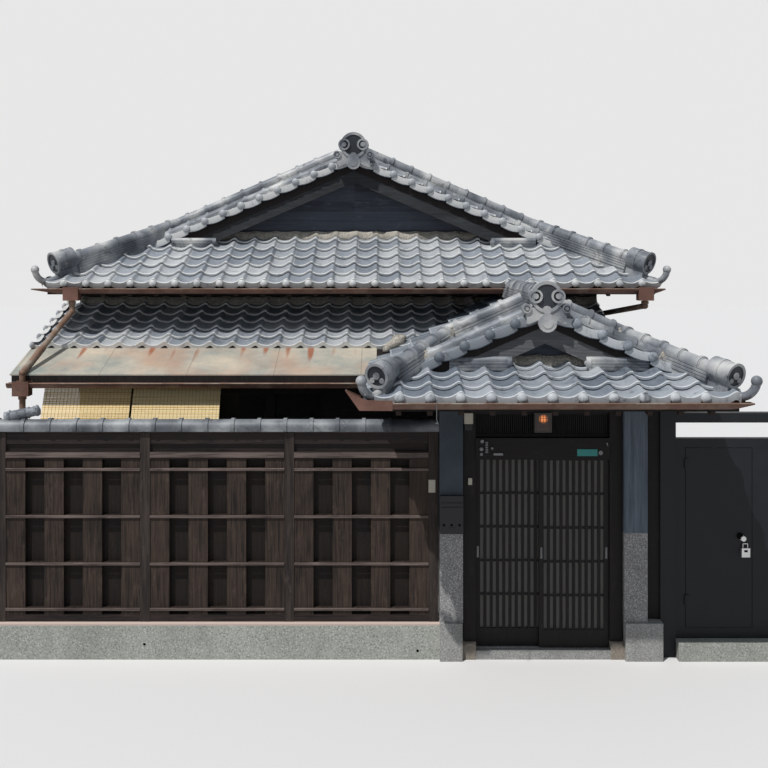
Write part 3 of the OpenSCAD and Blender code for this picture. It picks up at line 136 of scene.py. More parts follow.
class Graph:
    """The nodes of a material or of the world."""

    def __init__(self, tree):
        self.tree = tree

    def node(self, kind, settings, inputs, output=0):
        made = self.tree.nodes.new(kind)
        for key, value in settings.items():
            if key == "stops":
                ramp = made.color_ramp
                while len(ramp.elements) < len(value):
                    ramp.elements.new(0.5)
                for element, (position, colour) in zip(ramp.elements, value):
                    element.position = position
                    element.color = (*colour, 1)
            else:
                setattr(made, key, value)
        for key, value in inputs.items():
            self.put(made.inputs[key], value)
        return Link(self, made.outputs[output])

    def put(self, socket, value):
        if isinstance(value, Link):
            self.tree.links.new(value.socket, socket)
        elif isinstance(value, tuple) and len(value) == 3 and socket.type == "RGBA":
            socket.default_value = (*value, 1)
        else:
            socket.default_value = value

    def seen(self):
        """1 for what the camera sees, straight or by a reflection or a pane."""
        rays = [self.node("ShaderNodeLightPath", {}, {}, name)
                for name in ("Is Camera Ray", "Is Glossy Ray", "Is Transmission Ray")]
        return rays[0].larger(rays[1]).larger(rays[2])


class Finish(Graph):
    """A material built from noise and sums on Object coordinates, kept among the looks by its name."""

    def __init__(self, name):
        self.material = bpy.data.materials.new(name)
        self.material.use_nodes = True
        super().__init__(self.material.node_tree)
        self.shader = self.tree.nodes["Principled BSDF"]
        self.coordinates = self.node("ShaderNodeTexCoord", {}, {}, "Object")
        LOOKS[name] = self.material

    def place(self, axis):
        """One of the object's own coordinates."""
        return self.node("ShaderNodeSeparateXYZ", {}, {"Vector": self.coordinates}, "XYZ".index(axis))

    def tone(self):
        """The tone painted on the piece's faces: its own tone, and on tiles also painted shade and highlight.
        """
        return self.node("ShaderNodeAttribute", {"attribute_name": "tile_tone"}, {}, "Fac")

    def stretched(self, x, y, z):
        return self.node("ShaderNodeMapping", {}, {"Vector": self.coordinates, "Scale": (x, y, z)})

    def noise(self, scale, detail=4, roughness=0.6, vector=None, warp=0.0):
        return self.node("ShaderNodeTexNoise", {}, {
            "Vector": vector or self.coordinates, "Scale": scale, "Detail": detail,
            "Roughness": roughness, "Distortion": warp})

    def cells(self, scale, vector=None):
        return self.node("ShaderNodeTexVoronoi", {}, {
            "Vector": vector or self.coordinates, "Scale": scale}, "Distance")

    def ramp(self, fac, *stops):
        return self.node("ShaderNodeValToRGB", {"stops": stops}, {"Fac": fac})

    def span(self, value, low, high, out_low=0.0, out_high=1.0):
        return self.node("ShaderNodeMapRange", {}, {
            "Value": value, "From Min": low, "From Max": high, "To Min": out_low, "To Max": out_high})

    def mix(self, fac, a, b):
        return self.node("ShaderNodeMix", {"data_type": "RGBA"}, {0: fac, 6: a, 7: b}, 2)

    def bump(self, height, distance, strength=1.0):
        return self.node("ShaderNodeBump", {}, {"Height": height, "Distance": distance, "Strength": strength})

    def set(self, **values):
        for name, value in values.items():
            self.put(self.shader.inputs[name.replace("_", " ")], value)


def tint(*shades):
    """Colour written in the usual 0 to 255."""
    return tuple(((s / 255 + 0.055) / 1.055) ** 2.4 if s > 10 else s / 255 / 12.92 for s in shades)


def scaled(colour, share):
    return tuple(c * share for c in colour)


def along_axis(axis, across, along):
    """Stretch for a grain that runs along one axis."""
    return tuple(along if i == "xyz".index(axis) else across for i in range(3))


def wood(name, axis, deep, pale, roughness=0.66, boards=False, behind=None):
    """Stained timber with its grain along an axis; boards takes each board's own tone, and what lies
    behind a depth is painted darker as shade."""
    f = Finish(name)
    grain = f.noise(1, 6, 0.65, f.stretched(*along_axis(axis, 55, 2.2)), 0.6)
    fine = f.noise(1, 3, 0.6, f.stretched(*along_axis(axis, 320, 7)))
    broad = f.noise(2.3, 3)
    tone = f.span(grain * 0.7 + fine * 0.25 + broad * 0.25, 0.48, 0.76)
    if boards:
        tone = tone * 0.55 + f.tone() * 0.45
    colour = f.mix(tone, deep, pale)
    worn = f.span(f.noise(5, 5, 0.7, f.stretched(*along_axis(axis, 3, 0.8))), 0.56, 0.8, 0, 0.6)
    colour = f.mix(worn, colour, tuple(min(1, c * 1.7 + 0.008) for c in pale))
    if behind is not None:
        # Painted shade: darker behind the depth, where the back boards lie in the front boards' shade
        painted_shade = f.span(f.place("Y") + MIDDLE.y, behind, behind + 0.01, 0.0, 0.75)
        colour = f.mix(painted_shade, colour, scaled(deep, 0.5))
    f.set(Base_Color=colour, Roughness=f.span(tone, 0, 1, roughness - 0.1, roughness + 0.14),
          Normal=f.bump(grain * 0.7 + fine * 0.3, 0.0022, 0.8), Specular_IOR_Level=0.2)


def tile(name, pieces, dark, middle, light, wetness=0.6, blooming=0.6):
    """Smoked clay: silver grey, darker where it stays wet, with pale bloom; pieces takes each tile's
    own tone and the shade and highlight painted on its edges."""
    f = Finish(name)
    tone = f.tone() if pieces else f.span(f.noise(3.1, 1), 0.3, 0.7)
    broad = f.noise(1.7, 5, 0.62)
    fine = f.noise(34, 5, 0.7)
    speck = f.noise(150, 2, 0.5)
    body = f.ramp(f.span(tone * 0.6 + broad * 0.5 + fine * 0.25, 0.25, 1.05),
                  (0.0, dark), (0.45, middle), (1.0, light))
    wet = f.span(f.noise(6.5, 6, 0.72, None, 0.8), 0.54, 0.72, 0, wetness)
    bloom = f.span(f.noise(11, 6, 0.75, None, 0.5), 0.58, 0.72, 0, blooming)
    colour = f.mix(wet, body, dark)
    colour = f.mix(bloom, colour, tuple(0.5 * c + 0.5 * d for c, d in zip(light, (0.56, 0.53, 0.47))))
    rough = f.span(fine * 0.5 + bloom * 0.5, 0.1, 0.7, 0.44, 0.76)
    f.set(Base_Color=colour, Roughness=rough, Metallic=0.1,
          Normal=f.bump(fine * 0.75 + speck * 0.25, 0.0018, 0.8), Specular_IOR_Level=0.35)


def stone(name, low, high, scale, depth, speck=None, edge=None, roughness=0.82, faded=None):
    """Masonry with a mottled body and, where given, dark and pale grains, a top edge of its own colour and
    a line beyond which it has faded in streaks."""
    f = Finish(name)
    broad = f.noise(scale, 6, 0.62)
    grit = f.noise(scale * 26, 4, 0.7)
    colour = f.mix(f.span(broad * 0.7 + grit * 0.4, 0.35, 0.75), low, high)
    if speck:
        size, dark, pale = speck
        colour = f.mix(f.span(f.cells(size), 0.08, 0.46, 0.9, 0.0), colour, dark)
        moved = f.node("ShaderNodeMapping", {}, {"Vector": f.coordinates, "Location": (3.1, 1.7, 5.3)})
        colour = f.mix(f.span(f.cells(size * 0.8, moved), 0.06, 0.42, 0.8, 0.0), colour, pale)
    stain = f.span(f.noise(1.3, 6, 0.7, f.stretched(1.6, 1.6, 0.5)), 0.52, 0.72, 0, 0.5)
    colour = f.mix(stain, colour, scaled(low, 0.6))
    if faded is not None:
        beyond = f.span(f.place("X") + MIDDLE.x, faded, faded + 0.01)
        streaks = f.span(f.noise(1, 4, 0.6, f.stretched(26, 26, 1.6)), 0.32, 0.68, 0.15, 0.85)
        colour = f.mix(beyond * streaks, colour, scaled(high, 2.3))
    if edge:
        level = f.place("Z") + f.noise(30, 3) * 0.012
        colour = f.mix(f.span(level, edge[0] - 0.002, edge[0] + 0.002), colour, edge[1])
    f.set(Base_Color=colour, Roughness=roughness, Normal=f.bump(grit * 0.6 + broad * 0.4, depth),
          Specular_IOR_Level=0.3)


def metal(name, low, high, roughness, metallic=0.0, shine=0.5, patches=None):
    """Painted or bare sheet with a little unevenness and, where given, weathered patches."""
    f = Finish(name)
    broad = f.noise(4.5, 5, 0.6)
    fine = f.noise(60, 4, 0.6)
    colour = f.mix(f.span(broad * 0.8 + fine * 0.3, 0.35, 0.75), low, high)
    if patches:
        scale, weathered, most = patches
        patch = f.noise(1, 6, 0.7, f.stretched(scale, scale, scale), 0.4)
        colour = f.mix(f.span(patch, 0.5, 0.66, 0, most), colour, weathered)
    uneven = broad * 0.5 + fine * 0.5
    f.set(Base_Color=colour, Metallic=metallic,
          Roughness=f.span(uneven, 0.3, 0.7, roughness - 0.08, roughness + 0.12),
          Normal=f.bump(uneven, 0.0008 if patches else 0.0006), Specular_IOR_Level=shine)


def rusty_sheet(name):
    """Sheet metal worn pale green and cream, with rust run down from the hollow of each tile above it."""
    f = Finish(name)
    broad = f.noise(2.6, 5, 0.6)
    fine = f.noise(45, 4, 0.65)
    colour = f.ramp(f.span(broad * 0.85 + fine * 0.2, 0.35, 0.72), (0.0, tint(140, 146, 140)),
                    (0.5, tint(176, 170, 156)), (1.0, tint(204, 188, 166)))
    warm = f.span(f.noise(1.1, 4, 0.6), 0.46, 0.62, 0, 0.6)
    colour = f.mix(warm, colour, tint(178, 140, 116))
    across = f.place("X") + (MIDDLE.x - LOWER_LEFT)
    seam = (across * 1.1).fraction()
    colour = f.mix(f.span(seam, 0.0, 0.012, 0.7, 0.0), colour, tint(96, 88, 78))
    near = f.span(((across * 4).fraction() - 0.32).size(), 0.03, 0.26, 1, 0)
    run = f.noise(1, 5, 0.7, f.stretched(38, 3.0, 3.0), 0.9)
    gap = f.span(f.noise(1.9, 3, 0.5, f.stretched(1, 0.2, 0.2)), 0.42, 0.58)
    up = f.span(f.place("Y") + MIDDLE.y, LOWER_FRONT + 0.12, LOWER_FRONT + 0.62)
    rust = f.span(near * up * gap * (run + 0.55), 0.30, 0.62, 0, 0.85)
    colour = f.mix(rust, colour, tint(150, 84, 50))
    f.set(Base_Color=colour, Roughness=0.62, Metallic=0.05, Normal=f.bump(broad * 0.7 + fine * 0.3, 0.002),
          Specular_IOR_Level=0.3)


def reed(name):
    """Split reeds: each with its own straw or brown tone, darker at their joints."""
    f = Finish(name)
    fine = f.noise(1, 4, 0.6, f.stretched(30, 30, 420))
    joints = f.noise(1, 3, 0.6, f.stretched(14, 1, 60))
    colour = f.ramp(f.span(f.tone() * 0.75 + fine * 0.2 + joints * 0.25, 0.1, 1.05),
                    (0.0, tint(112, 76, 40)), (0.4, tint(238, 202, 132)), (1.0, tint(255, 244, 204)))
    f.set(Base_Color=colour, Roughness=0.62, Normal=f.bump(fine, 0.0008), Specular_IOR_Level=0.3)


def glass(name, colour, roughness, alpha, shine):
    f = Finish(name)
    f.set(Base_Color=f.mix(f.noise(3, 4), scaled(colour, 0.8), colour), Roughness=roughness, Alpha=alpha,
          Specular_IOR_Level=shine)


def glow(name, middle):
    """Amber pane with a lit bulb behind its middle."""
    f = Finish(name)
    away = f.node("ShaderNodeVectorMath", {"operation": "DISTANCE"}, {0: f.coordinates, 1: middle}, "Value")
    spread = f.span(away + f.noise(30, 2) * 0.01, 0.016, 0.050)
    f.set(Base_Color=f.mix(spread, tint(190, 110, 60), tint(44, 36, 32)), Roughness=0.4,
          Emission_Color=f.mix(spread, (0.95, 0.30, 0.09), (0.012, 0.005, 0.003)), Emission_Strength=0.9)


tile("tile_sheet", True, tint(74, 82, 92), tint(146, 151, 158), tint(214, 214, 211))
tile("gate_sheet", True, tint(44, 53, 64), tint(116, 124, 134), tint(198, 201, 203), 0.8, 0.5)
tile("shaded_sheet", True, tint(40, 48, 58), tint(84, 92, 101), tint(138, 143, 148), 0.7, 0.2)
tile("ridge_tile", False, tint(58, 63, 70), tint(126, 130, 136), tint(204, 203, 199), 0.85, 0.6)
# Fence cap: a darker copy of the roof tile, partly its own colour and partly painted shade
tile("cap_tile_painted_shade", False, tint(46, 49, 54), tint(92, 96, 101), tint(160, 163, 164), 0.7, 0.4)
# Sunk faces of the ornaments: near black, painted shade
tile("recess_painted_shade", False, tint(22, 25, 30), tint(34, 38, 44), tint(58, 62, 68), 0.6, 0.1)

beam_shades = tint(18, 16, 18), tint(43, 39, 39)
# The boards behind the front ones are painted darker as shade
wood("fence_boards", "z", tint(21, 18, 18), tint(80, 66, 57), behind=-0.015)
wood("fence_posts", "z", tint(30, 26, 25), tint(74, 65, 60))
wood("fence_bars", "x", tint(20, 18, 20), tint(60, 50, 47))
wood("fence_edges", "x", tint(60, 51, 48), tint(128, 113, 106))
wood("dark_posts", "z", *beam_shades)
wood("dark_beams", "x", *beam_shades)
wood("dark_rafters", "y", tint(34, 27, 25), tint(66, 54, 48))
wood("dark_walls", "z", tint(20, 17, 17), tint(46, 40, 38), 0.7)
wood("wall_boards", "x", tint(20, 18, 20), tint(58, 51, 50), 0.7, True)
wood("gable_boards", "x", tint(50, 53, 60), tint(96, 101, 112), 0.7, True)
wood("door_wood", "z", tint(15, 14, 14), tint(36, 32, 30), 0.55)
wood("grey_boards", "x", tint(78, 78, 80), tint(118, 118, 120), 0.72)
wood("verge_boards", "x", tint(36, 38, 40), tint(66, 68, 70), 0.72)
wood("floor_boards", "y", (0.22, 0.13, 0.065), (0.42, 0.27, 0.15), 0.45)

concrete = (0.33, 0.335, 0.295), (0.47, 0.475, 0.425), 2.2, 0.0016
stone("concrete", *concrete, (52, (0.17, 0.17, 0.155), (0.64, 0.64, 0.59)))
stone("base_concrete", *concrete, (52, (0.15, 0.15, 0.135), (0.68, 0.69, 0.63)), (0.321, tint(204, 184, 172)))
stone("block_stone", (0.30, 0.295, 0.275), (0.43, 0.42, 0.40), 5, 0.003,
      (60, (0.16, 0.16, 0.15), (0.62, 0.61, 0.58)))
stone("natural_stone", (0.24, 0.205, 0.165), (0.44, 0.38, 0.31), 7, 0.006,
      (90, (0.12, 0.10, 0.08), (0.55, 0.5, 0.42)))
stone("granite", (0.25, 0.245, 0.24), (0.38, 0.37, 0.36), 9, 0.0015,
      (64, (0.07, 0.07, 0.075), (0.78, 0.76, 0.73)), roughness=0.7)
stone("slate_render", tint(60, 68, 76), tint(84, 91, 99), 3, 0.0012, faded=GATE_X)
stone("mortar", tint(132, 127, 118), tint(198, 190, 176), 12, 0.006,
      (60, tint(110, 100, 90), tint(228, 220, 206)))

metal("gate_metal", tint(20, 23, 27), tint(32, 35, 38), 0.5, shine=0.25)
metal("black_metal", tint(22, 23, 26), tint(34, 34, 36), 0.45, shine=0.35)
metal("steel", (0.5, 0.5, 0.5), (0.66, 0.66, 0.66), 0.28, 0.9)
metal("copper", tint(86, 60, 50), tint(128, 94, 82), 0.5, 0.2, 0.4, (2.5, tint(146, 128, 110), 0.6))
metal("pipe_copper", tint(98, 72, 58), tint(140, 112, 92), 0.55, 0.1, 0.4, (3.5, tint(158, 150, 138), 0.85))
metal("lamp_case", tint(58, 56, 54), tint(88, 84, 80), 0.5, shine=0.3)
metal("dull_metal", tint(88, 90, 92), tint(124, 125, 126), 0.4, 0.6)
# Near black for openings: painted shade inside holes
metal("hollow", tint(5, 5, 6), tint(9, 9, 10), 0.9, shine=0.1)
metal("cream_paint", tint(186, 178, 158), tint(214, 207, 190), 0.5)
metal("plate_enamel", tint(26, 128, 124), tint(48, 150, 142), 0.4)

rusty_sheet("apron")
reed("reed")
glass("frosted_glass", tint(112, 110, 105), 0.5, 0.94, 0.3)
glass("clear_glass", (0.05, 0.055, 0.055), 0.08, 0.75, 0.5)
glow("lamp_glow", Vector((GATE_X, -0.09, 2.232)) - MIDDLE)

# The solids that take each look
solids = {
    "base_concrete": "fence_base", "fence_posts": "fence_posts", "fence_bars": "fence_rails",
    "fence_boards": "fence_panel_left fence_panel_middle fence_panel_right", "cap_tile_painted_shade": "fence_cap",
    "block_stone": "gate_base_blocks gate_sill", "natural_stone": "gate_post_stones",
    "granite": "gate_pier_granite", "slate_render": "gate_pier_render", "lamp_case": "gate_lamp",
    "dark_posts": "gate_posts gate_transom side_board", "dark_beams": "gate_lintel gate_beams",
    "door_wood": "gate_leaf_left gate_leaf_right windows entrance_door",
    "frosted_glass": "gate_glass_left gate_glass_right", "clear_glass": "window_glass",
    "dark_walls": "gate_roof front_wall upper_front_wall side_walls rear_wall lower_roof main_roof",
    "gable_boards": "gate_gable main_gables", "grey_boards": "gate_bargeboards",
    "verge_boards": "main_bargeboards", "ridge_tile": "gate_ridges gate_ornaments main_ridges main_ornaments",
    "gate_metal": "side_gate_frame side_gate_door side_gate_panel", "steel": "side_gate_lock",
    "black_metal": "letter_box", "concrete": "side_gate_threshold house_footing",
    "floor_boards": "house_floor", "apron": "lower_apron", "copper": "gutters", "pipe_copper": "downpipes",
    "reed": "reed_blinds",
}
for look, nodes in solids.items():
    for node in nodes.split():
        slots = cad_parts[node].data.materials
        slots.clear()
        slots.append(LOOKS[look])


# Shapes

class Shape:
    """A mesh in the house's own lines that becomes one piece."""

    def __init__(self):
        self.mesh = bmesh.new()
        self.tone = self.mesh.faces.layers.float.new("tile_tone")

    def box(self, x, y, z, bevel=0.0):
        size = Vector((x[1] - x[0], y[1] - y[0], z[1] - z[0]))
        centre = Vector((x[0] + x[1], y[0] + y[1], z[0] + z[1])) / 2
        made = bmesh.ops.create_cube(self.mesh, size=1,
                                     matrix=Matrix.Translation(centre) @ Matrix.Diagonal((*size, 1)))
        if bevel:
            edges = {edge for vert in made["verts"] for edge in vert.link_edges}
            bmesh.ops.bevel(self.mesh, geom=list(edges), offset=bevel, offset_type="OFFSET", segments=1,
                            profile=0.5, affect="EDGES", material=-1, clamp_overlap=True)
        return made["verts"]

    def rod(self, start, end, r, sides=12, r_end=None):
        start, end = Vector(start), Vector(end)
        turn = (end - start).to_track_quat("Z", "Y").to_matrix().to_4x4()
        return bmesh.ops.create_cone(
            self.mesh, cap_ends=True, segments=sides, radius1=r, radius2=r if r_end is None else r_end,
            depth=(end - start).length, matrix=Matrix.Translation((start + end) / 2) @ turn)["verts"]

    def ball(self, centre, axis, r, depth, sides=10, rings=6):
        """Domed round, flattened along an axis."""
        turn = Vector(axis).to_track_quat("Z", "Y").to_matrix().to_4x4()
        squeeze = Matrix.Diagonal((r, r, depth, 1))
        return bmesh.ops.create_uvsphere(self.mesh, u_segments=sides, v_segments=rings, radius=1,
                                         matrix=Matrix.Translation(Vector(centre)) @ turn @ squeeze)["verts"]

    def grid(self, columns, rows, place, tone=None):
        """Sheet of columns by rows of points; place gives the point of each, tone that of each face."""
        made = bmesh.ops.create_grid(self.mesh, x_segments=columns - 1, y_segments=rows - 1, size=1)["verts"]
        step_x, step_y = 2 / (columns - 1), 2 / (rows - 1)
        if tone:
            for face in {face for vert in made for face in vert.link_faces}:
                middle = face.calc_center_median()
                face[self.tone] = tone(int((middle.x + 1) / step_x), int((middle.y + 1) / step_y))
        for vert in made:
            vert.co = place(round((vert.co.x + 1) / step_x), round((vert.co.y + 1) / step_y))
        return made

    def paint(self, verts, tone):
        """Sets the tone of the faces round some points."""
        for face in {face for vert in verts for face in vert.link_faces}:
            face[self.tone] = tone

    def timber(self, slope, along, run, height):
        """Piece that lies with a slope: ranges along its eave, up its run and off its deck."""
        for vert in bmesh.ops.create_cube(self.mesh, size=1)["verts"]:
            spans = zip(vert.co, (along, run, height))
            vert.co = slope.at(*(low + (high - low) * (c + 0.5) for c, (low, high) in spans))

    def lump(self, start, end, r, seed, flat=1.0):
        """Uneven mortar between two points, closed at both ends."""
        draw = random.Random(seed)
        start, end = Vector(start), Vector(end)
        way = (end - start).normalized()
        side = way.cross(UP).normalized()
        up = side.cross(way)
        sides = 10
        rows = 3 + math.ceil((end - start).length / (0.7 * r))
        radii = [[r * draw.uniform(0.78, 1.16) for _ in range(sides)] for _ in range(rows)]

        def place(i, j):
            swell = math.sin(math.pi * j / (rows - 1)) ** 0.35 if 0 < j < rows - 1 else 0
            turn = -2 * math.pi * (i % sides) / sides
            spread = radii[j][i % sides] * swell
            return (start + (end - start) * (j / (rows - 1)) + side * math.cos(turn) * spread
                    + up * math.sin(turn) * spread * flat)

        made = self.grid(sides + 1, rows, place)
        bmesh.ops.remove_doubles(self.mesh, verts=made, dist=1e-5)

    def cut(self, point, normal):
        """Takes away what lies past a plane."""
        mesh = self.mesh
        bmesh.ops.bisect_plane(mesh, geom=mesh.verts[:] + mesh.edges[:] + mesh.faces[:], dist=1e-6,
                               plane_co=Vector(point), plane_no=Vector(normal), clear_outer=True)

    def join(self, other):
        """Adds another shape's mesh to this one."""
        kept = bpy.data.meshes.new("kept")
        other.mesh.to_mesh(kept)
        self.mesh.from_mesh(kept)
        bpy.data.meshes.remove(kept)
        other.mesh.free()

    def finish(self, name, look, slot, body="root", smooth=False, angle=0.6):
        data = bpy.data.meshes.new(name)
        bmesh.ops.translate(self.mesh, verts=self.mesh.verts, vec=-MIDDLE)
        self.mesh.to_mesh(data)
        self.mesh.free()
        data.materials.append(LOOKS[look])
        piece = bpy.data.objects.new(name, data)
        bpy.context.scene.collection.objects.link(piece)
        if smooth:
            data.shade_smooth()
            data.set_sharp_from_angle(angle=angle)
        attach(piece, body)
        return piece


class Slope:
    """One plane of a roof: distance along its eave, run back from the eave and height off its deck."""

    def __init__(self, corner, back, pitch):
        self.corner = Vector(corner)
        self.back = Vector((*back, 0))
        self.along = Vector((back[1], -back[0], 0))
        self.rise = self.back + UP * pitch
        self.normal = (UP - self.back * pitch).normalized()

    def at(self, u, run, height):
        return self.corner + self.along * u + self.rise * run + self.normal * height


# Roof tiles: a wave across each tile, and four rows of points up each course, for gap, foot, lip and body
# (gap painted as shade, foot and lip as highlight)

TILE_W = 0.25
TILE_RUN = 0.222
TILE_BASE = 0.037
TILE_STEP = 0.027
TILE_LAP = 0.045
EAVE_FACE = 0.042
APRON_FACE = 0.024
WAVE = [(0.0, -0.005), (0.1, -0.016), (0.22, -0.023), (0.34, -0.025), (0.46, -0.021), (0.57, -0.011),
        (0.66, 0.003), (0.74, 0.017), (0.81, 0.027), (0.88, 0.026), (0.93, 0.016), (0.955, 0.002)]
ROW_RUN = (0.010, 0.001, 0, 0.015)
ROW_HEIGHT = (-0.001, 0.007, TILE_STEP, TILE_STEP + 0.003)
# Tones of the gap, foot and lip: painted shade under each tile's edge, painted highlight on its front face
# and lip
PAINTED_GAP_SHADE = -0.5
PAINTED_FOOT_LIGHT = 1.25
PAINTED_LIP_LIGHT = 1.05
VERGE_WAVE = [(0.0, 0.0), (0.16, -0.010), (0.36, -0.017), (0.58, -0.016), (0.8, -0.008), (0.999, 0.004)]
VERGE_ROWS = ((0.0, 0.082), (-0.004, 0.074), (0.0, 0), (0.055, 0))
# Tones of the verge's lower edge, hanging face and top: the face and top painted pale as highlight
VERGE_PAINTED_LIGHT = (0.4, 1.15, 1.3)
DROP_TONE = 1.0
DROP_MARGIN = 0.12


def wave(column):
    """Distance along the eave and height of a point column of the tiles."""
    whole, part = divmod(column, len(WAVE))
    return (whole + WAVE[part][0]) * TILE_W, WAVE[part][1]


def tile_sheet(slope, width, start, stop, seed, face=EAVE_FACE):
    """Courses of wave-shaped tiles, each lapped over the one below with a gap under its edge painted dark as
    shade, and the foot and lip painted pale as highlight; face is how far the first course hangs down."""
    shape = Shape()
    draw = random.Random(seed)
    wide = math.ceil(width / TILE_W)
    courses = math.ceil((stop - start) / TILE_RUN)
    tones = [[draw.uniform(0.20, 0.80) for _ in range(wide + 1)] for _ in range(courses + 1)]
    nudges = [[(draw.uniform(-0.004, 0.004), draw.uniform(-0.001, 0.004)) for _ in range(wide + 1)]
              for _ in range(courses + 1)]

    def place(i, j):
        u, h = wave(i)
        course, part = divmod(j, 4)
        if course == 0 and part < 2:
            return slope.at(u, start, TILE_BASE + h - (face - 0.002 * part))
        back, lift = nudges[course][i // len(WAVE)] if part else (0, 0)
        run = start + course * TILE_RUN + ROW_RUN[part] + back
        return slope.at(u, run, TILE_BASE + h + ROW_HEIGHT[part] + lift)

    def tone(i, j):
        course, part = divmod(j, 4)
        body = tones[course][i // len(WAVE)]
        # painted shade for the gap, painted highlight for the foot and lip, the tile's own tone for the body
        return (PAINTED_GAP_SHADE, PAINTED_FOOT_LIGHT, PAINTED_LIP_LIGHT + 0.3 * body, body)[part]

    shape.grid(wide * len(WAVE) + 1, courses * 4 + 1, place, tone)
    return shape


def eave_drops(shape, slope, width):
    """Round ends on the eave tiles, under each roll."""
    last = width - DROP_MARGIN
    for i in range(math.ceil(last / TILE_W)):
        u = (i + 0.82) * TILE_W
        if DROP_MARGIN < u < last:
            middle = slope.at(u, -TILE_LAP - 0.006, TILE_BASE + 0.006)
            shape.paint(shape.ball(middle, -slope.back, 0.044, 0.026), DROP_TONE)


def verge(shape, slope, u, outward, start, stop, r=0.047):
    """Hanging faces and round ends of the tiles along a verge, the faces painted pale as highlight; u is its
    place along the eave.
    """
    courses = math.ceil((stop - start) / TILE_RUN)

    def place(i, j):
        course, part = divmod(i, len(VERGE_WAVE))
        share, h = VERGE_WAVE[part]
        inward, drop = VERGE_ROWS[j]
        run = min(start + (course + share) * TILE_RUN, stop)
        return slope.at(u - outward * inward, run, TILE_BASE + 0.022 + TILE_STEP * (1 - share) + h - drop)

    shape.grid(courses * len(VERGE_WAVE) + 1, 4, place, lambda i, j: VERGE_PAINTED_LIGHT[j])
    for course in range(courses):
        middle = slope.at(u + outward * 0.004, start + course * TILE_RUN, TILE_BASE + 0.012)
        shape.paint(shape.ball(middle, slope.along * outward, r, 0.028), 0.62)


def hip_cut(shape, slope, u, side, slant):
    """Cuts a sheet along a hip that moves in along the eave by the slant for each unit of run."""
    direction = slope.back - slope.along * side * slant
    shape.cut(slope.at(u, 0, 0), Vector((direction.y, -direction.x, 0)) * side)


def end_slope(name, slope, width, depth, slant, seed, look="tile_sheet"):
    """The slope under a gable, with a hip at each end."""
    shape = tile_sheet(slope, width, -TILE_LAP, depth, seed)
    for u, side in ((0, -1), (width, 1)):
        hip_cut(shape, slope, u, side, slant)
    shape.cut(slope.at(0, depth, 0), slope.back)
    eave_drops(shape, slope, width)
    shape.finish(name, look, "roof_tile", smooth=True)


def side_slope(name, slope, length, half, verge_back, slant, seed, hips=(True, True), look="tile_sheet"):
    """A side of a hip-and-gable roof: hipped below and cut at the verges above, at the ends in hips."""
    change = verge_back * slant
    ends = ((0, -1, hips[0]), (length, 1, hips[1]))
    low = tile_sheet(slope, length, -TILE_LAP, change, seed)
    for u, side, hipped in ends:
        hip_cut(low, slope, u, side, 1 / slant if hipped else 0)
    low.cut(slope.at(0, change, 0), slope.back)
    eave_drops(low, slope, length)
    high = tile_sheet(slope, length, -TILE_LAP, half, seed + 1)
    high.cut(slope.at(0, change, 0), -slope.back)
    high.cut(slope.at(0, half, 0), slope.back)
    for u, side, hipped in ends:
        inset = verge_back - 0.04 if hipped else 0
        high.cut(slope.at(u - side * inset, 0, 0), slope.along * side)
        if hipped:
            verge(high, slope, u - side * (verge_back - 0.05), side, change + 0.02, half - 0.05)
    low.join(high)
    low.finish(name, look, "roof_tile", smooth=True)


main_depth = MAIN_BACK - MAIN_FRONT
main_front = Slope((-MAIN_HALF, MAIN_FRONT, MAIN_EAVE), (0, 1), MAIN_PITCH)
main_rear = Slope((MAIN_HALF, MAIN_BACK, MAIN_EAVE), (0, -1), MAIN_PITCH)
main_left = Slope((-MAIN_HALF, MAIN_BACK, MAIN_EAVE), (1, 0), MAIN_PITCH)
main_right = Slope((MAIN_HALF, MAIN_FRONT, MAIN_EAVE), (-1, 0), MAIN_PITCH)
for name, slope, seed in (("main_front_tiles", main_front, 11), ("main_rear_tiles", main_rear, 12)):
    end_slope(name, slope, 2 * MAIN_HALF, MAIN_GABLE, 1, seed)
for name, slope, seed in (("main_left_tiles", main_left, 21), ("main_right_tiles", main_right, 31)):
    side_slope(name, slope, main_depth, MAIN_HALF, MAIN_VERGE, 1, seed)

gate_depth = UPPER_WALL - GATE_FRONT
gate_left_x = GATE_ROOF_X - GATE_HALF
gate_right_x = GATE_ROOF_X + GATE_HALF
gate_front = Slope((gate_left_x, GATE_FRONT, GATE_EAVE), (0, 1), GATE_FRONT_PITCH)
gate_left = Slope((gate_left_x, UPPER_WALL, GATE_EAVE), (1, 0), GATE_PITCH)
gate_right = Slope((gate_right_x, GATE_FRONT, GATE_EAVE), (-1, 0), GATE_PITCH)
end_slope("gate_front_tiles", gate_front, 2 * GATE_HALF, GATE_GABLE, GATE_SLANT, 41, "gate_sheet")
for name, slope, seed, hips, look in (
        ("gate_left_tiles", gate_left, 51, (False, True), "shaded_sheet"),
        ("gate_right_tiles", gate_right, 61, (True, False), "gate_sheet")):
    side_slope(name, slope, gate_depth, GATE_HALF, GATE_VERGE, GATE_SLANT, seed, hips, look)

lower = Slope((LOWER_LEFT, LOWER_FRONT, LOWER_EAVE), (0, 1), LOWER_PITCH)
lower_width = HOUSE_HALF - LOWER_LEFT
lower_start = APRON - 0.03
lower_top = UPPER_WALL - LOWER_FRONT
lower_tiles = tile_sheet(lower, lower_width, lower_start, lower_top, 71, APRON_FACE)
lower_tiles.cut(lower.at(0, lower_top - 0.002, 0), lower.back)
lower_tiles.cut(lower.at(lower_width, 0, 0), lower.along)
verge(lower_tiles, lower, 0.0, -1, lower_start, lower_top - 0.05, 0.040)
lower_tiles.finish("lower_roof_tiles", "tile_sheet", "roof_tile", smooth=True)


# Mortar along the walls and at the ends of the ridges

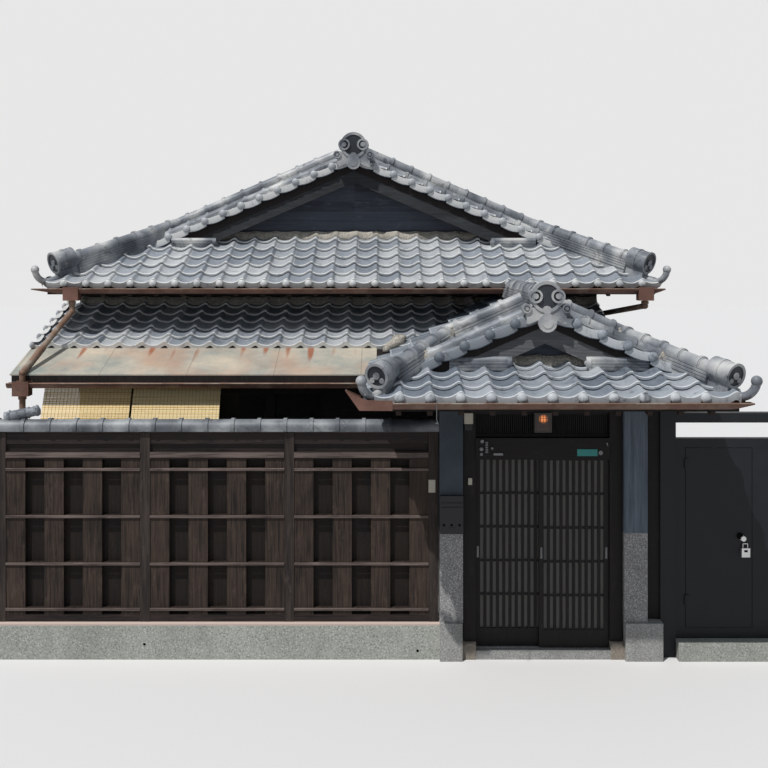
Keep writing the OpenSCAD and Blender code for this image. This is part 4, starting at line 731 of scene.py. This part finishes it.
def flashing(slope, first, last, run, reach):
    """Mortar that fills the waves of the tiles against a wall, from a run up to the wall."""
    shape = Shape()
    begin = math.floor(first / TILE_W) * len(WAVE)
    columns = math.ceil(last / TILE_W) * len(WAVE) - begin + 1
    rows = ((0.006, 1, -0.03), (0, 1, 0.0), (0.006, 0.85, 0.022), (reach, 0.3, 0.05))

    def place(i, j):
        u, h = wave(i + begin)
        back, share, rise = rows[j]
        return slope.at(u, run + back, TILE_BASE + TILE_STEP + h * share + rise)

    shape.grid(columns, len(rows), place)
    shape.cut(slope.at(first, 0, 0), -slope.along)
    shape.cut(slope.at(last, 0, 0), slope.along)
    return shape


bed_line = flashing(lower, 0.17, lower_width - 0.02, lower_top - 0.085, 0.084)
for slope, centre, half, run, reach in ((main_front, MAIN_HALF, 1.72, MAIN_GABLE - 0.075, 0.074),
                                        (main_rear, MAIN_HALF, 1.72, MAIN_GABLE - 0.075, 0.074),
                                        (gate_front, GATE_HALF, 0.42, GATE_GABLE - 0.06, 0.059)):
    bed_line.join(flashing(slope, centre - half, centre + half, run, reach))

# Lumps at each side of the gate's roof: distance from its middle, both ends, radius, seed and flatness
gate_lumps = (
    (GATE_HALF - GATE_SLANT * 1.22, (0.10, -0.03, 3.000), (0.08, 0.10, 3.075), 0.066, 7, 0.9),
    (GATE_HALF - GATE_SLANT * 1.22, (0.02, -0.05, 2.930), (0.02, -0.02, 3.060), 0.050, 9, 1.0),
    (GATE_HALF - 0.50, (0.10, -0.52, 2.800), (0.03, -0.46, 2.900), 0.068, 17, 1.0),
    (0.70, (0.24, GATE_FRONT + 0.66, 2.765), (0.24, GATE_FRONT + 0.69, 2.785), 0.040, 27, 0.8))
for side in (1, -1):
    for distance, (out, *start), (inward, *end), r, seed, flat in gate_lumps:
        x = GATE_ROOF_X - side * distance
        bed_line.lump((x - side * out, *start), (x + side * inward, *end), r, seed + side, flat)
    x = -side * (MAIN_HALF - 1.06)
    for y, turn in ((MAIN_FRONT, 1), (MAIN_BACK, -1)):
        bed_line.lump((x - side * 0.07, y + turn * 1.02, 4.02), (x + side * 0.05, y + turn * 1.06, 4.07),
                      0.060, 37 + side)
bed_line.lump((0.36, 1.56, 2.700), (0.62, 1.80, 2.850), 0.058, 47)
bed_line.lump((0.36, 1.66, 2.715), (0.58, 1.90, 2.855), 0.052, 48)
bed_line.finish("mortar_beds", "mortar", "roof_tile", smooth=True, angle=1.0)


# Short ridges on the roof at the feet of the gables

FOOT_CAP = 0.112
FOOT_END = 0.088
foot_ridges = Shape()
for slope, centre, near, far, run in ((gate_front, GATE_HALF + 0.035, 0.35, 0.88, GATE_GABLE - 0.115),
                                      (main_front, MAIN_HALF, 1.70, 2.22, MAIN_GABLE - 0.270),
                                      (main_rear, MAIN_HALF, 1.70, 2.22, MAIN_GABLE - 0.270)):
    for side in (-1, 1):
        tip = centre + side * near
        left, right = sorted((tip, centre + side * far))
        for layer in range(3):
            half = 0.050 - layer * 0.004
            base = layer * 0.026
            foot_ridges.timber(slope, (left, right), (run - half, run + half), (0.030 + base, 0.051 + base))
        half = 0.034
        foot_ridges.timber(slope, (left + 0.012, right - 0.012), (run - half, run + half), (0.028, FOOT_CAP))
        foot_ridges.rod(slope.at(left, run, FOOT_CAP), slope.at(right, run, FOOT_CAP), 0.033, 18)
        face = slope.at(tip - side * 0.022, run, FOOT_END)
        foot_ridges.rod(face, slope.at(tip + side * 0.018, run, FOOT_END), 0.056, 22)
        foot_ridges.ball(face, slope.along, 0.026, 0.016, 14, 8)
foot_ridges.finish("gable_foot_ridges", "ridge_tile", "roof_tile", smooth=True)


# Collars on the round ridge caps

def collars(shape, start, direction, length, cap, courses, step, first):
    """Rings round a cap that lies on courses of flat tiles, along a line from its start."""
    direction = Vector(direction).normalized()
    lift = (UP - direction * direction.z).normalized() * (BED + courses * COURSE)
    place = first
    while place < length - 0.05:
        middle = Vector(start) + direction * place + lift
        for half, proud in ((0.015, 0.015), (0.026, 0.006)):
            shape.rod(middle - direction * half, middle + direction * half, cap + proud, 20)
        place += step


def hip_collars(shape, corner, way, start, stop, cap, courses, step, first, verges, verge_first):
    """Collars on the cap of a hip, and on those of the ridges that run up the verge from it."""
    collars(shape, corner + way * start, way, way.length * (stop - start), cap, courses, step, first)
    up = Vector((way.x, 0, way.z))
    for run, rest, cap, courses in verges:
        collars(shape, corner + way * run, up, up.length * (rest - run), cap, courses, step, verge_first)


# Hips: the corner of the eaves, and the way up for each unit in from the side eave
main_hips = [(Vector((-side * MAIN_HALF, y, MAIN_EAVE)), Vector((side, turn, MAIN_PITCH)))
             for y, turn in ((MAIN_FRONT, 1), (MAIN_BACK, -1)) for side in (1, -1)]
gate_hips = [(Vector((GATE_ROOF_X - side * GATE_HALF, GATE_FRONT, GATE_EAVE)),
              Vector((side, 1 / GATE_SLANT, GATE_PITCH))) for side in (1, -1)]

rings = Shape()
main_rest = MAIN_HALF - 0.15
for corner, way in main_hips:
    hip_collars(rings, corner, way, 0.26, 1.25, 0.068, 5, 0.25, 0.1,
                ((MAIN_VERGE + 0.09, main_rest, 0.052, 1), (MAIN_VERGE + 0.30, main_rest, 0.060, 5)), 0.2)
collars(rings, (0, MAIN_FRONT + MAIN_VERGE, MAIN_TOP), (0, 1, 0), main_depth - 2 * MAIN_VERGE, 0.075, 5,
        0.26, 0.18)
rings.finish("main_ridge_collars", "ridge_tile", "roof_tile", smooth=True)

rings = Shape()
gate_rest = GATE_HALF - 0.14
for corner, way in gate_hips:
    hip_collars(rings, corner, way, 0.15, 0.69, 0.060, 4, 0.23, 0.14,
                (((GATE_VERGE + 0.08) * GATE_SLANT, gate_rest, 0.052, 1),
                 ((GATE_VERGE + 0.62) * GATE_SLANT, gate_rest, 0.055, 4)), 0.16)
collars(rings, (GATE_ROOF_X, GATE_FRONT + GATE_VERGE, GATE_TOP), (0, 1, 0), 2.25, 0.060, 5, 0.25, 0.18)
rings.finish("gate_ridge_collars", "ridge_tile", "roof_tile", smooth=True)


# Round tiles at the tops of the verges, and the sunk faces of the ornaments, painted dark as shade

apexes = Shape()
recesses = Shape()
for x, y, z, out, drop, r, height in (
        (0, MAIN_FRONT + 0.820, MAIN_TOP, -1, 0.020, 0.080, 0.33),
        (0, MAIN_BACK - 0.820, MAIN_TOP, 1, 0.020, 0.080, 0.33),
        (GATE_ROOF_X, GATE_FRONT + 0.4997, GATE_TOP, -1, 0.054, 0.076, 0.29)):
    top = z - drop
    for back, rise, front, radius in ((-0.12, 0.02, 0.035, r), (0.034, 0, 0.050, r + 0.006),
                                      (0.049, 0, 0.056, r * 0.62)):
        apexes.rod((x, y + out * back, top + rise), (x, y + out * front, top), radius, 24)
    head = z + 0.020 + 0.52 * height
    recesses.rod((x, y - out * 0.01, head), (x, y + out * 0.003, head), 0.375 * height, 32)
for hips, foot, up, r in ((main_hips, 0.26 - 0.16, 0.210, 0.120), (gate_hips, 0.15 - 0.11, 0.185, 0.100)):
    for corner, way in hips:
        line = way.normalized()
        face = corner + way * foot + (UP - line * line.z).normalized() * up
        recesses.rod(face + line * 0.01, face - line * 0.003, r - 0.013, 32)
apexes.finish("verge_apex_tiles", "ridge_tile", "roof_tile", smooth=True)
recesses.finish("ornament_recesses", "recess_painted_shade", "roof_tile")


# Boards on the walls and gables, and rafters under the eaves

def siding(shape, corner, along, width, top, board, proud, seed):
    """Lapped boards up a wall from a corner, along a level direction."""
    draw = random.Random(seed)
    corner, along = Vector(corner), Vector(along)
    out = along.cross(UP)
    rows = math.ceil((top - corner.z) / board)
    spans = max(1, round(width / 1.6))
    tones = [[draw.random() for _ in range(spans)] for _ in range(rows)]

    def place(i, j):
        row, part = divmod(j, 2)
        level = min(corner.z + (row + (0, 0.97)[part]) * board, top) - corner.z
        return corner + along * (width * i / spans) + out * (proud, 0.002)[part] + UP * level

    shape.grid(spans + 1, 2 * rows, place, lambda i, j: tones[j // 2][i] if j % 2 == 0 else 0.0)


def gable(shape, x, y, out, half, foot, top, pitch, deck, board, seed):
    """Boards of a gable, cut under its two slopes."""
    boards = Shape()
    siding(boards, (x + out * half, y, foot), (-out, 0, 0), 2 * half, top + pitch * (half + 0.5), board,
           0.010, seed)
    for side in (1, -1):
        boards.cut((x, y, top - deck - 0.004), (side * pitch, 0, 1))
    shape.join(boards)


gables = Shape()
for y, out in ((MAIN_FRONT + MAIN_GABLE, -1), (MAIN_BACK - MAIN_GABLE, 1)):
    gable(gables, 0, y, out, 1.95, MAIN_EAVE + MAIN_PITCH * MAIN_GABLE, MAIN_TOP, MAIN_PITCH, MAIN_DECK,
          0.12, 5)
gable(gables, GATE_ROOF_X, GATE_FRONT + GATE_GABLE, -1, 0.80, GATE_EAVE + GATE_FRONT_PITCH * GATE_GABLE,
      GATE_TOP, GATE_PITCH, GATE_DECK, 0.085, 6)
gables.finish("gable_siding", "gable_boards", "grey_wood")

FOOTING_TOP = 0.402
WALL_TOP = 3.735
walls = Shape()
upper = Shape()
siding(upper, (-3.360, UPPER_WALL, 3.150), (1, 0, 0), 6.225, WALL_TOP, 0.125, 0.010, 7)
upper.cut((-MAIN_HALF, UPPER_WALL, MAIN_EAVE - MAIN_DECK - 0.004), (-MAIN_PITCH, 0, 1))
walls.join(upper)
siding(walls, (-0.288, WALL_FRONT, FOOTING_TOP), (1, 0, 0), 1.386, 2.610, 0.15, 0.010, 8)
for x, foot, width, top, seed in (
        (-0.900, 2.262, 2.088, WALL_TOP, 9), (2.988, FOOTING_TOP, 2.088, WALL_TOP, 10),
        (0.900, 2.262, 1.800, WALL_TOP, 11), (-0.900, FOOTING_TOP, 2.088, 2.262, 12),
        (0.900, FOOTING_TOP, 1.800, 1.258, 13)):
    siding(walls, (x, REAR, foot), (-1, 0, 0), width, top, 0.15, 0.009, seed)
walls.finish("wall_siding", "wall_boards", "dark_wood")


def rafters(shape, slope, length, first, reach, deck, slant=0, step=0.303):
    """Exposed rafters under an eave; beside hips they shorten by the slant for each unit along it."""
    under = -deck * slope.normal.z - 0.001
    u = first
    while u < length - 0.05:
        room = min(reach, min(u, length - u) * slant - 0.08) if slant else reach
        if room > 0.15:
            shape.timber(slope, (u - 0.022, u + 0.022), (0.025, room), (under - 0.055, under))
        u += step


GATE_STEP = 0.26
beams = Shape()
for slope, length, reach in ((main_front, 2 * MAIN_HALF, 0.99), (main_rear, 2 * MAIN_HALF, 0.99),
                             (main_left, main_depth, 0.43), (main_right, main_depth, 0.43)):
    rafters(beams, slope, length, 0.30, reach, MAIN_DECK, 1)
rafters(beams, gate_front, 2 * GATE_HALF, 0.20, 0.35, GATE_DECK, 1 / GATE_SLANT, GATE_STEP)
rafters(beams, gate_left, gate_depth - 0.9, 1.05, 0.44, GATE_DECK, step=GATE_STEP)
rafters(beams, gate_right, gate_depth - 0.9, 0.75, 0.44, GATE_DECK, step=GATE_STEP)
behind = 0.11
shifted = Slope((LOWER_LEFT, LOWER_FRONT + behind, LOWER_EAVE + behind * LOWER_PITCH), (0, 1), LOWER_PITCH)
rafters(beams, shifted, lower_width, 0.12, 0.49, LOWER_DECK)
beams.finish("eave_rafters", "dark_rafters", "dark_wood")


# Gutters: straps, sleeves and screws, and the beads along their front edges

def strap(shape, x, y, z, width, r):
    """Band round the underside of a gutter."""
    shape.grid(2, 13, lambda i, j: Vector((x + (0.5 - i) * width, y - r * math.cos(math.pi * j / 12),
                                           z - r * math.sin(math.pi * j / 12))))


straps = Shape()
beads = Shape()
for eave, side, z, first, last, left, right in (
        (GATE_FRONT, -1, GATE_EAVE - 0.010, 0.85, 2.95, 0.445, 3.375),
        (MAIN_FRONT, -1, MAIN_EAVE - 0.045, -2.95, 3.10, -3.580, 3.520),
        (LOWER_FRONT, -1, LOWER_EAVE - 0.070, -3.10, 0.20, -3.525, 0.285),
        (MAIN_BACK, 1, MAIN_EAVE - 0.045, -3.10, 3.10, -3.580, 3.520)):
    y = eave + side * GUTTER_OUT
    x = first
    while x < last:
        strap(straps, x, y, z, 0.016, GUTTER_R + 0.0016)
        x += 0.52
    for share in (0.3, 0.72):
        strap(straps, first + (last - first) * share, y, z, 0.075, GUTTER_R + 0.0010)
    y += side * GUTTER_R
    beads.rod((left, y, z), (right, y, z), 0.0065, 12)
y = GATE_FRONT - GUTTER_OUT - GUTTER_R
z = GATE_EAVE - 0.020
for x in (0.800, 1.462, 2.142, 2.780):
    straps.rod((x, y - 0.003, z), (x, y + 0.004, z), 0.008, 10)
straps.finish("gutter_straps", "copper", "sheet_copper", smooth=True)
beads.finish("gutter_beads", "pipe_copper", "sheet_copper", smooth=True)


# Fence: strips over the boards, a board behind their heads, rims on the cap, and holes for water

strips = Shape()
backing = Shape()
for bay in range(3):
    left = FENCE_START + bay * FENCE_BAY + POST_EDGE
    across = (left, left + FENCE_BAY - 2 * POST_EDGE)
    for z in (0.445, 0.869, 1.310, 1.751):
        strips.box(across, (-0.0520, -0.0373), (z - 0.011, z + 0.013), 0.002)
    strips.box(across, (-0.0560, -0.0483), (1.862, 1.912), 0.004)
    strips.box(across, (-0.0400, -0.0353), (2.098, 2.108), 0.001)
    backing.box(across, (-0.0120, 0.0060), (1.9205, 1.9895), 0.002)
strips.finish("fence_strips", "fence_edges", "fence_boards")
backing.finish("fence_backing", "fence_bars", "fence_boards")

rims = Shape()
for i in range(16):
    x = FENCE_START - 0.040 + i * 0.245
    rims.rod((x - 0.017, 0, 2.140), (x + 0.017, 0, 2.140), 0.0870, 28)
rims.cut((0, 0, 2.112), (0, 0, -1))
rims.finish("cap_rims", "cap_tile_painted_shade", "roof_tile", smooth=True)

ROLL_Y = 0.020
roll = Shape()
roll.rod((-3.190, ROLL_Y, 2.228), (-2.880, ROLL_Y, 2.294), 0.052, 18, 0.044)
for step in range(4):
    x = -3.185 + step * 0.082
    z = 2.226 + step * 0.018
    roll.lump((x, ROLL_Y, z), (x + 0.080, ROLL_Y, z + 0.024), 0.060 - step * 0.002, 70 + step)
roll.finish("cap_end_roll", "ridge_tile", "roof_tile", smooth=True)

weeps = Shape()
# Dark discs for the weep holes: painted shade inside them
for x, z in ((-1.855, 0.142), (0.682, 0.081)):
    weeps.rod((x, -0.1006, z), (x, -0.0950, z), 0.013, 16)
weeps.finish("weep_holes", "hollow", "concrete")


# Lamp and small fittings by the gate

openings = Shape()
# Dark discs for the letter box's openings: painted shade inside them
for x in (0.9225, 0.9945, 1.0665):
    openings.rod((x, -0.1562, 1.262), (x, -0.1548, 1.262), 0.0125, 18)
openings.finish("letter_box_openings", "hollow", "black_metal")

lock_face = Shape()
# Dark slot and disc in the lock's face: painted shade inside its openings
lock_face.box((3.727, 3.759), (-0.0700, -0.0680), (0.986, 1.006), 0.0006)
lock_face.rod((3.700, -0.0420, 1.128), (3.700, -0.0305, 1.128), 0.030, 20)
lock_face.finish("lock_window", "hollow", "black_metal", "side_door")

lamp_x = (GATE_X - 0.0655, GATE_X + 0.0655)
lamp_z = (2.1196, 2.2752)
pane = Shape()
pane.box(lamp_x, (-0.0940, -0.0850), lamp_z, 0.001)
pane.finish("lamp_pane", "lamp_glow", "lamp_shade")
bars = Shape()
for i in range(-2, 3):
    x = GATE_X + i * 0.026
    bars.box((x - 0.0025, x + 0.0025), (-0.0965, -0.0935), lamp_z, 0.0006)
for z in (2.158, 2.197, 2.236):
    bars.box(lamp_x, (-0.0960, -0.0937), (z - 0.002, z + 0.002), 0.0006)
bars.finish("lamp_bars", "lamp_case", "lamp_shade")

pull_z = (0.915, 1.021)
for name, stiles, face in (("left", (1.2515, 1.8585), 0.0035), ("right", (1.8415, 2.4485), -0.0365)):
    cups = Shape()
    for x in stiles:
        cups.box((x - 0.0090, x + 0.0090), (face + 0.0050, face + 0.0069), pull_z, 0.0006)
        for edge in (x - 0.0085, x + 0.0085):
            cups.box((edge - 0.0012, edge + 0.0012), (face + 0.0004, face + 0.0060), pull_z, 0.0004)
    cups.finish("finger_pulls_" + name, "dull_metal", "black_metal", name + "_leaf")

fittings = Shape()
for x, z, r, thick in ((1.283, 2.023, 0.016, 0.020), (1.276, 1.949, 0.017, 0.014),
                       (1.276, 1.902, 0.014, 0.012), (1.376, 1.958, 0.011, 0.016)):
    fittings.rod((x, -0.0755 - thick, z), (x, LINTEL_FACE, z), r, 18)
    fittings.rod((x, -0.0790 - thick, z), (x, -0.0750 - thick, z), r * 0.55, 14)
for i in range(5):
    z = 1.915 + i * 0.022
    fittings.box((1.312, 1.339), (-0.0890, LINTEL_FACE), (z, z + 0.016), 0.002)
fittings.box((1.387, 1.478), (-0.0850, LINTEL_FACE), (1.889, 1.915), 0.004)
fittings.rod((2.386, -0.0850, 1.915), (2.386, LINTEL_FACE, 1.915), 0.021, 20)
fittings.box((2.440, 2.454), (-0.0830, LINTEL_FACE), (1.985, 2.010), 0.002)
for start, end, r in (((2.447, -0.0780, 1.990), (2.447, -0.1020, 1.978), 0.003),
                      ((2.447, -0.1010, 1.977), (2.447, -0.1040, 1.992), 0.003),
                      ((0.797, -1.2850, 2.420), (0.797, -1.2850, 2.553), 0.0035),
                      ((0.797, -1.2850, 2.553), (0.797, -1.2500, 2.560), 0.0035),
                      ((0.797, -1.2850, 2.420), (0.810, -1.2800, 2.385), 0.0035),
                      ((0.810, -1.2800, 2.385), (0.786, -1.2750, 2.395), 0.0035)):
    fittings.rod(start, end, r, 8)
fittings.finish("gate_fittings", "dull_metal", "steel", smooth=True)

plate = Shape()
plate.box((2.168, 2.358), (-0.0790, LINTEL_FACE), (1.884, 1.949), 0.0015)
plate.finish("bare_plate", "plate_enamel", "gate_metal")
cases = Shape()
cases.box((1.153, 1.191), (-0.0780, -0.0600), (1.615, 1.680), 0.003)
cases.box((0.786, 0.851), (-0.0500, -0.0450), (1.537, 1.657), 0.002)
cases.box((1.112, 1.198), (-0.1000, -0.0600), (2.185, 2.289), 0.005)
cases.finish("pale_cases", "cream_paint", "lamp_shade")
grille = Shape()
grille.box((1.116, 1.194), (-0.0960, -0.0600), (2.125, 2.184), 0.003)
for i in range(6):
    x = 1.120 + i * 0.0125
    grille.box((x, x + 0.0065), (-0.0985, -0.0955), (2.128, 2.181), 0.0008)
grille.finish("case_grille", "black_metal", "black_metal")


# Blinds: reeds side by side, tied with rows of thread, that lean out below their tops

BLIND_WIDTH = 0.915
BLIND_FOOT = 0.842
BLIND_TOP = 2.375
BLIND_Y = LOWER_FRONT + 0.080
REEDS = 146
REED_STEP = 0.0105
LEAN = 0.165
LEAN_FROM = 2.010
for name, left, seed in (("blind_left", -3.190, 80), ("blind_right", -2.255, 81)):
    draw = random.Random(seed)
    blind = Shape()
    y = BLIND_Y + 0.0052
    for row in range(REEDS):
        z = BLIND_FOOT + 0.004 + row * REED_STEP
        droop = draw.uniform(-0.0008, 0.0008)
        shade = draw.uniform(0.7, 1.0) if row % 2 else draw.uniform(0.2, 0.8)
        blind.paint(blind.rod((left + 0.002, y, z + droop), (left + 0.913, y, z - droop), 0.0047, 6), shade)
    for i in range(24):
        x = left + 0.032 + i * 0.037
        for y in (BLIND_Y + 0.0002, BLIND_Y + 0.0086):
            for span in ((BLIND_FOOT, LEAN_FROM), (LEAN_FROM, BLIND_TOP)):
                blind.paint(blind.box((x - 0.0014, x + 0.0014), (y, y + 0.0012), span), 0.0)
    for z in (BLIND_FOOT, 2.370):
        thick = (BLIND_Y + 0.0001, BLIND_Y + 0.0099)
        blind.paint(blind.box((left, left + BLIND_WIDTH), thick, (z - 0.002, z + 0.008)), 0.3)
    for x in (left + 0.100, left + 0.815):
        thick = (BLIND_Y, BLIND_Y + 0.010)
        blind.paint(blind.box((x - 0.004, x + 0.004), thick, (BLIND_TOP + 0.001, 2.44)), 0.2)
    for vert in blind.mesh.verts:
        vert.co.y -= LEAN * min(1, max(0, (BLIND_TOP - vert.co.z) / (BLIND_TOP - LEAN_FROM)))
    piece = blind.finish(name, "reed", "reed")
    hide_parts("reed_blinds")


# Floor and light

bpy.ops.mesh.primitive_plane_add(size=120, location=(0, 0, -0.001))
floor = bpy.context.object
floor.name = "floor"
ground = Finish("pale_floor")
ground.set(Base_Color=ground.mix(ground.seen(), (0.36, 0.355, 0.35), (0.715, 0.70, 0.68)), Roughness=0.9)
floor.data.materials.append(ground.material)

SUN_HEIGHT = 58.5
SUN_TURN = -38
sun_data = bpy.data.lights.new("sun", "SUN")
sun_data.energy = 3.2
sun_data.angle = 0.012
sun = bpy.data.objects.new("sun", sun_data)
sun.rotation_euler = (math.radians(90 - SUN_HEIGHT), 0, math.radians(SUN_TURN))
bpy.context.scene.collection.objects.link(sun)

world = bpy.data.worlds.new("sky")
bpy.context.scene.world = world
world.use_nodes = True
sky = Graph(world.node_tree)
light = sky.tree.nodes["Background"]
light.inputs["Color"].default_value = (0.75, 0.85, 1, 1)
light.inputs["Strength"].default_value = 0.30
backdrop = sky.node("ShaderNodeBackground", {}, {"Color": (0.80, 0.80, 0.80), "Strength": 1})
both = sky.node("ShaderNodeMixShader", {}, {0: sky.seen(), 1: Link(sky, light.outputs[0]), 2: backdrop})
sky.tree.links.new(both.socket, sky.tree.nodes["World Output"].inputs["Surface"])

bpy.context.scene.view_settings.view_transform = "Standard"
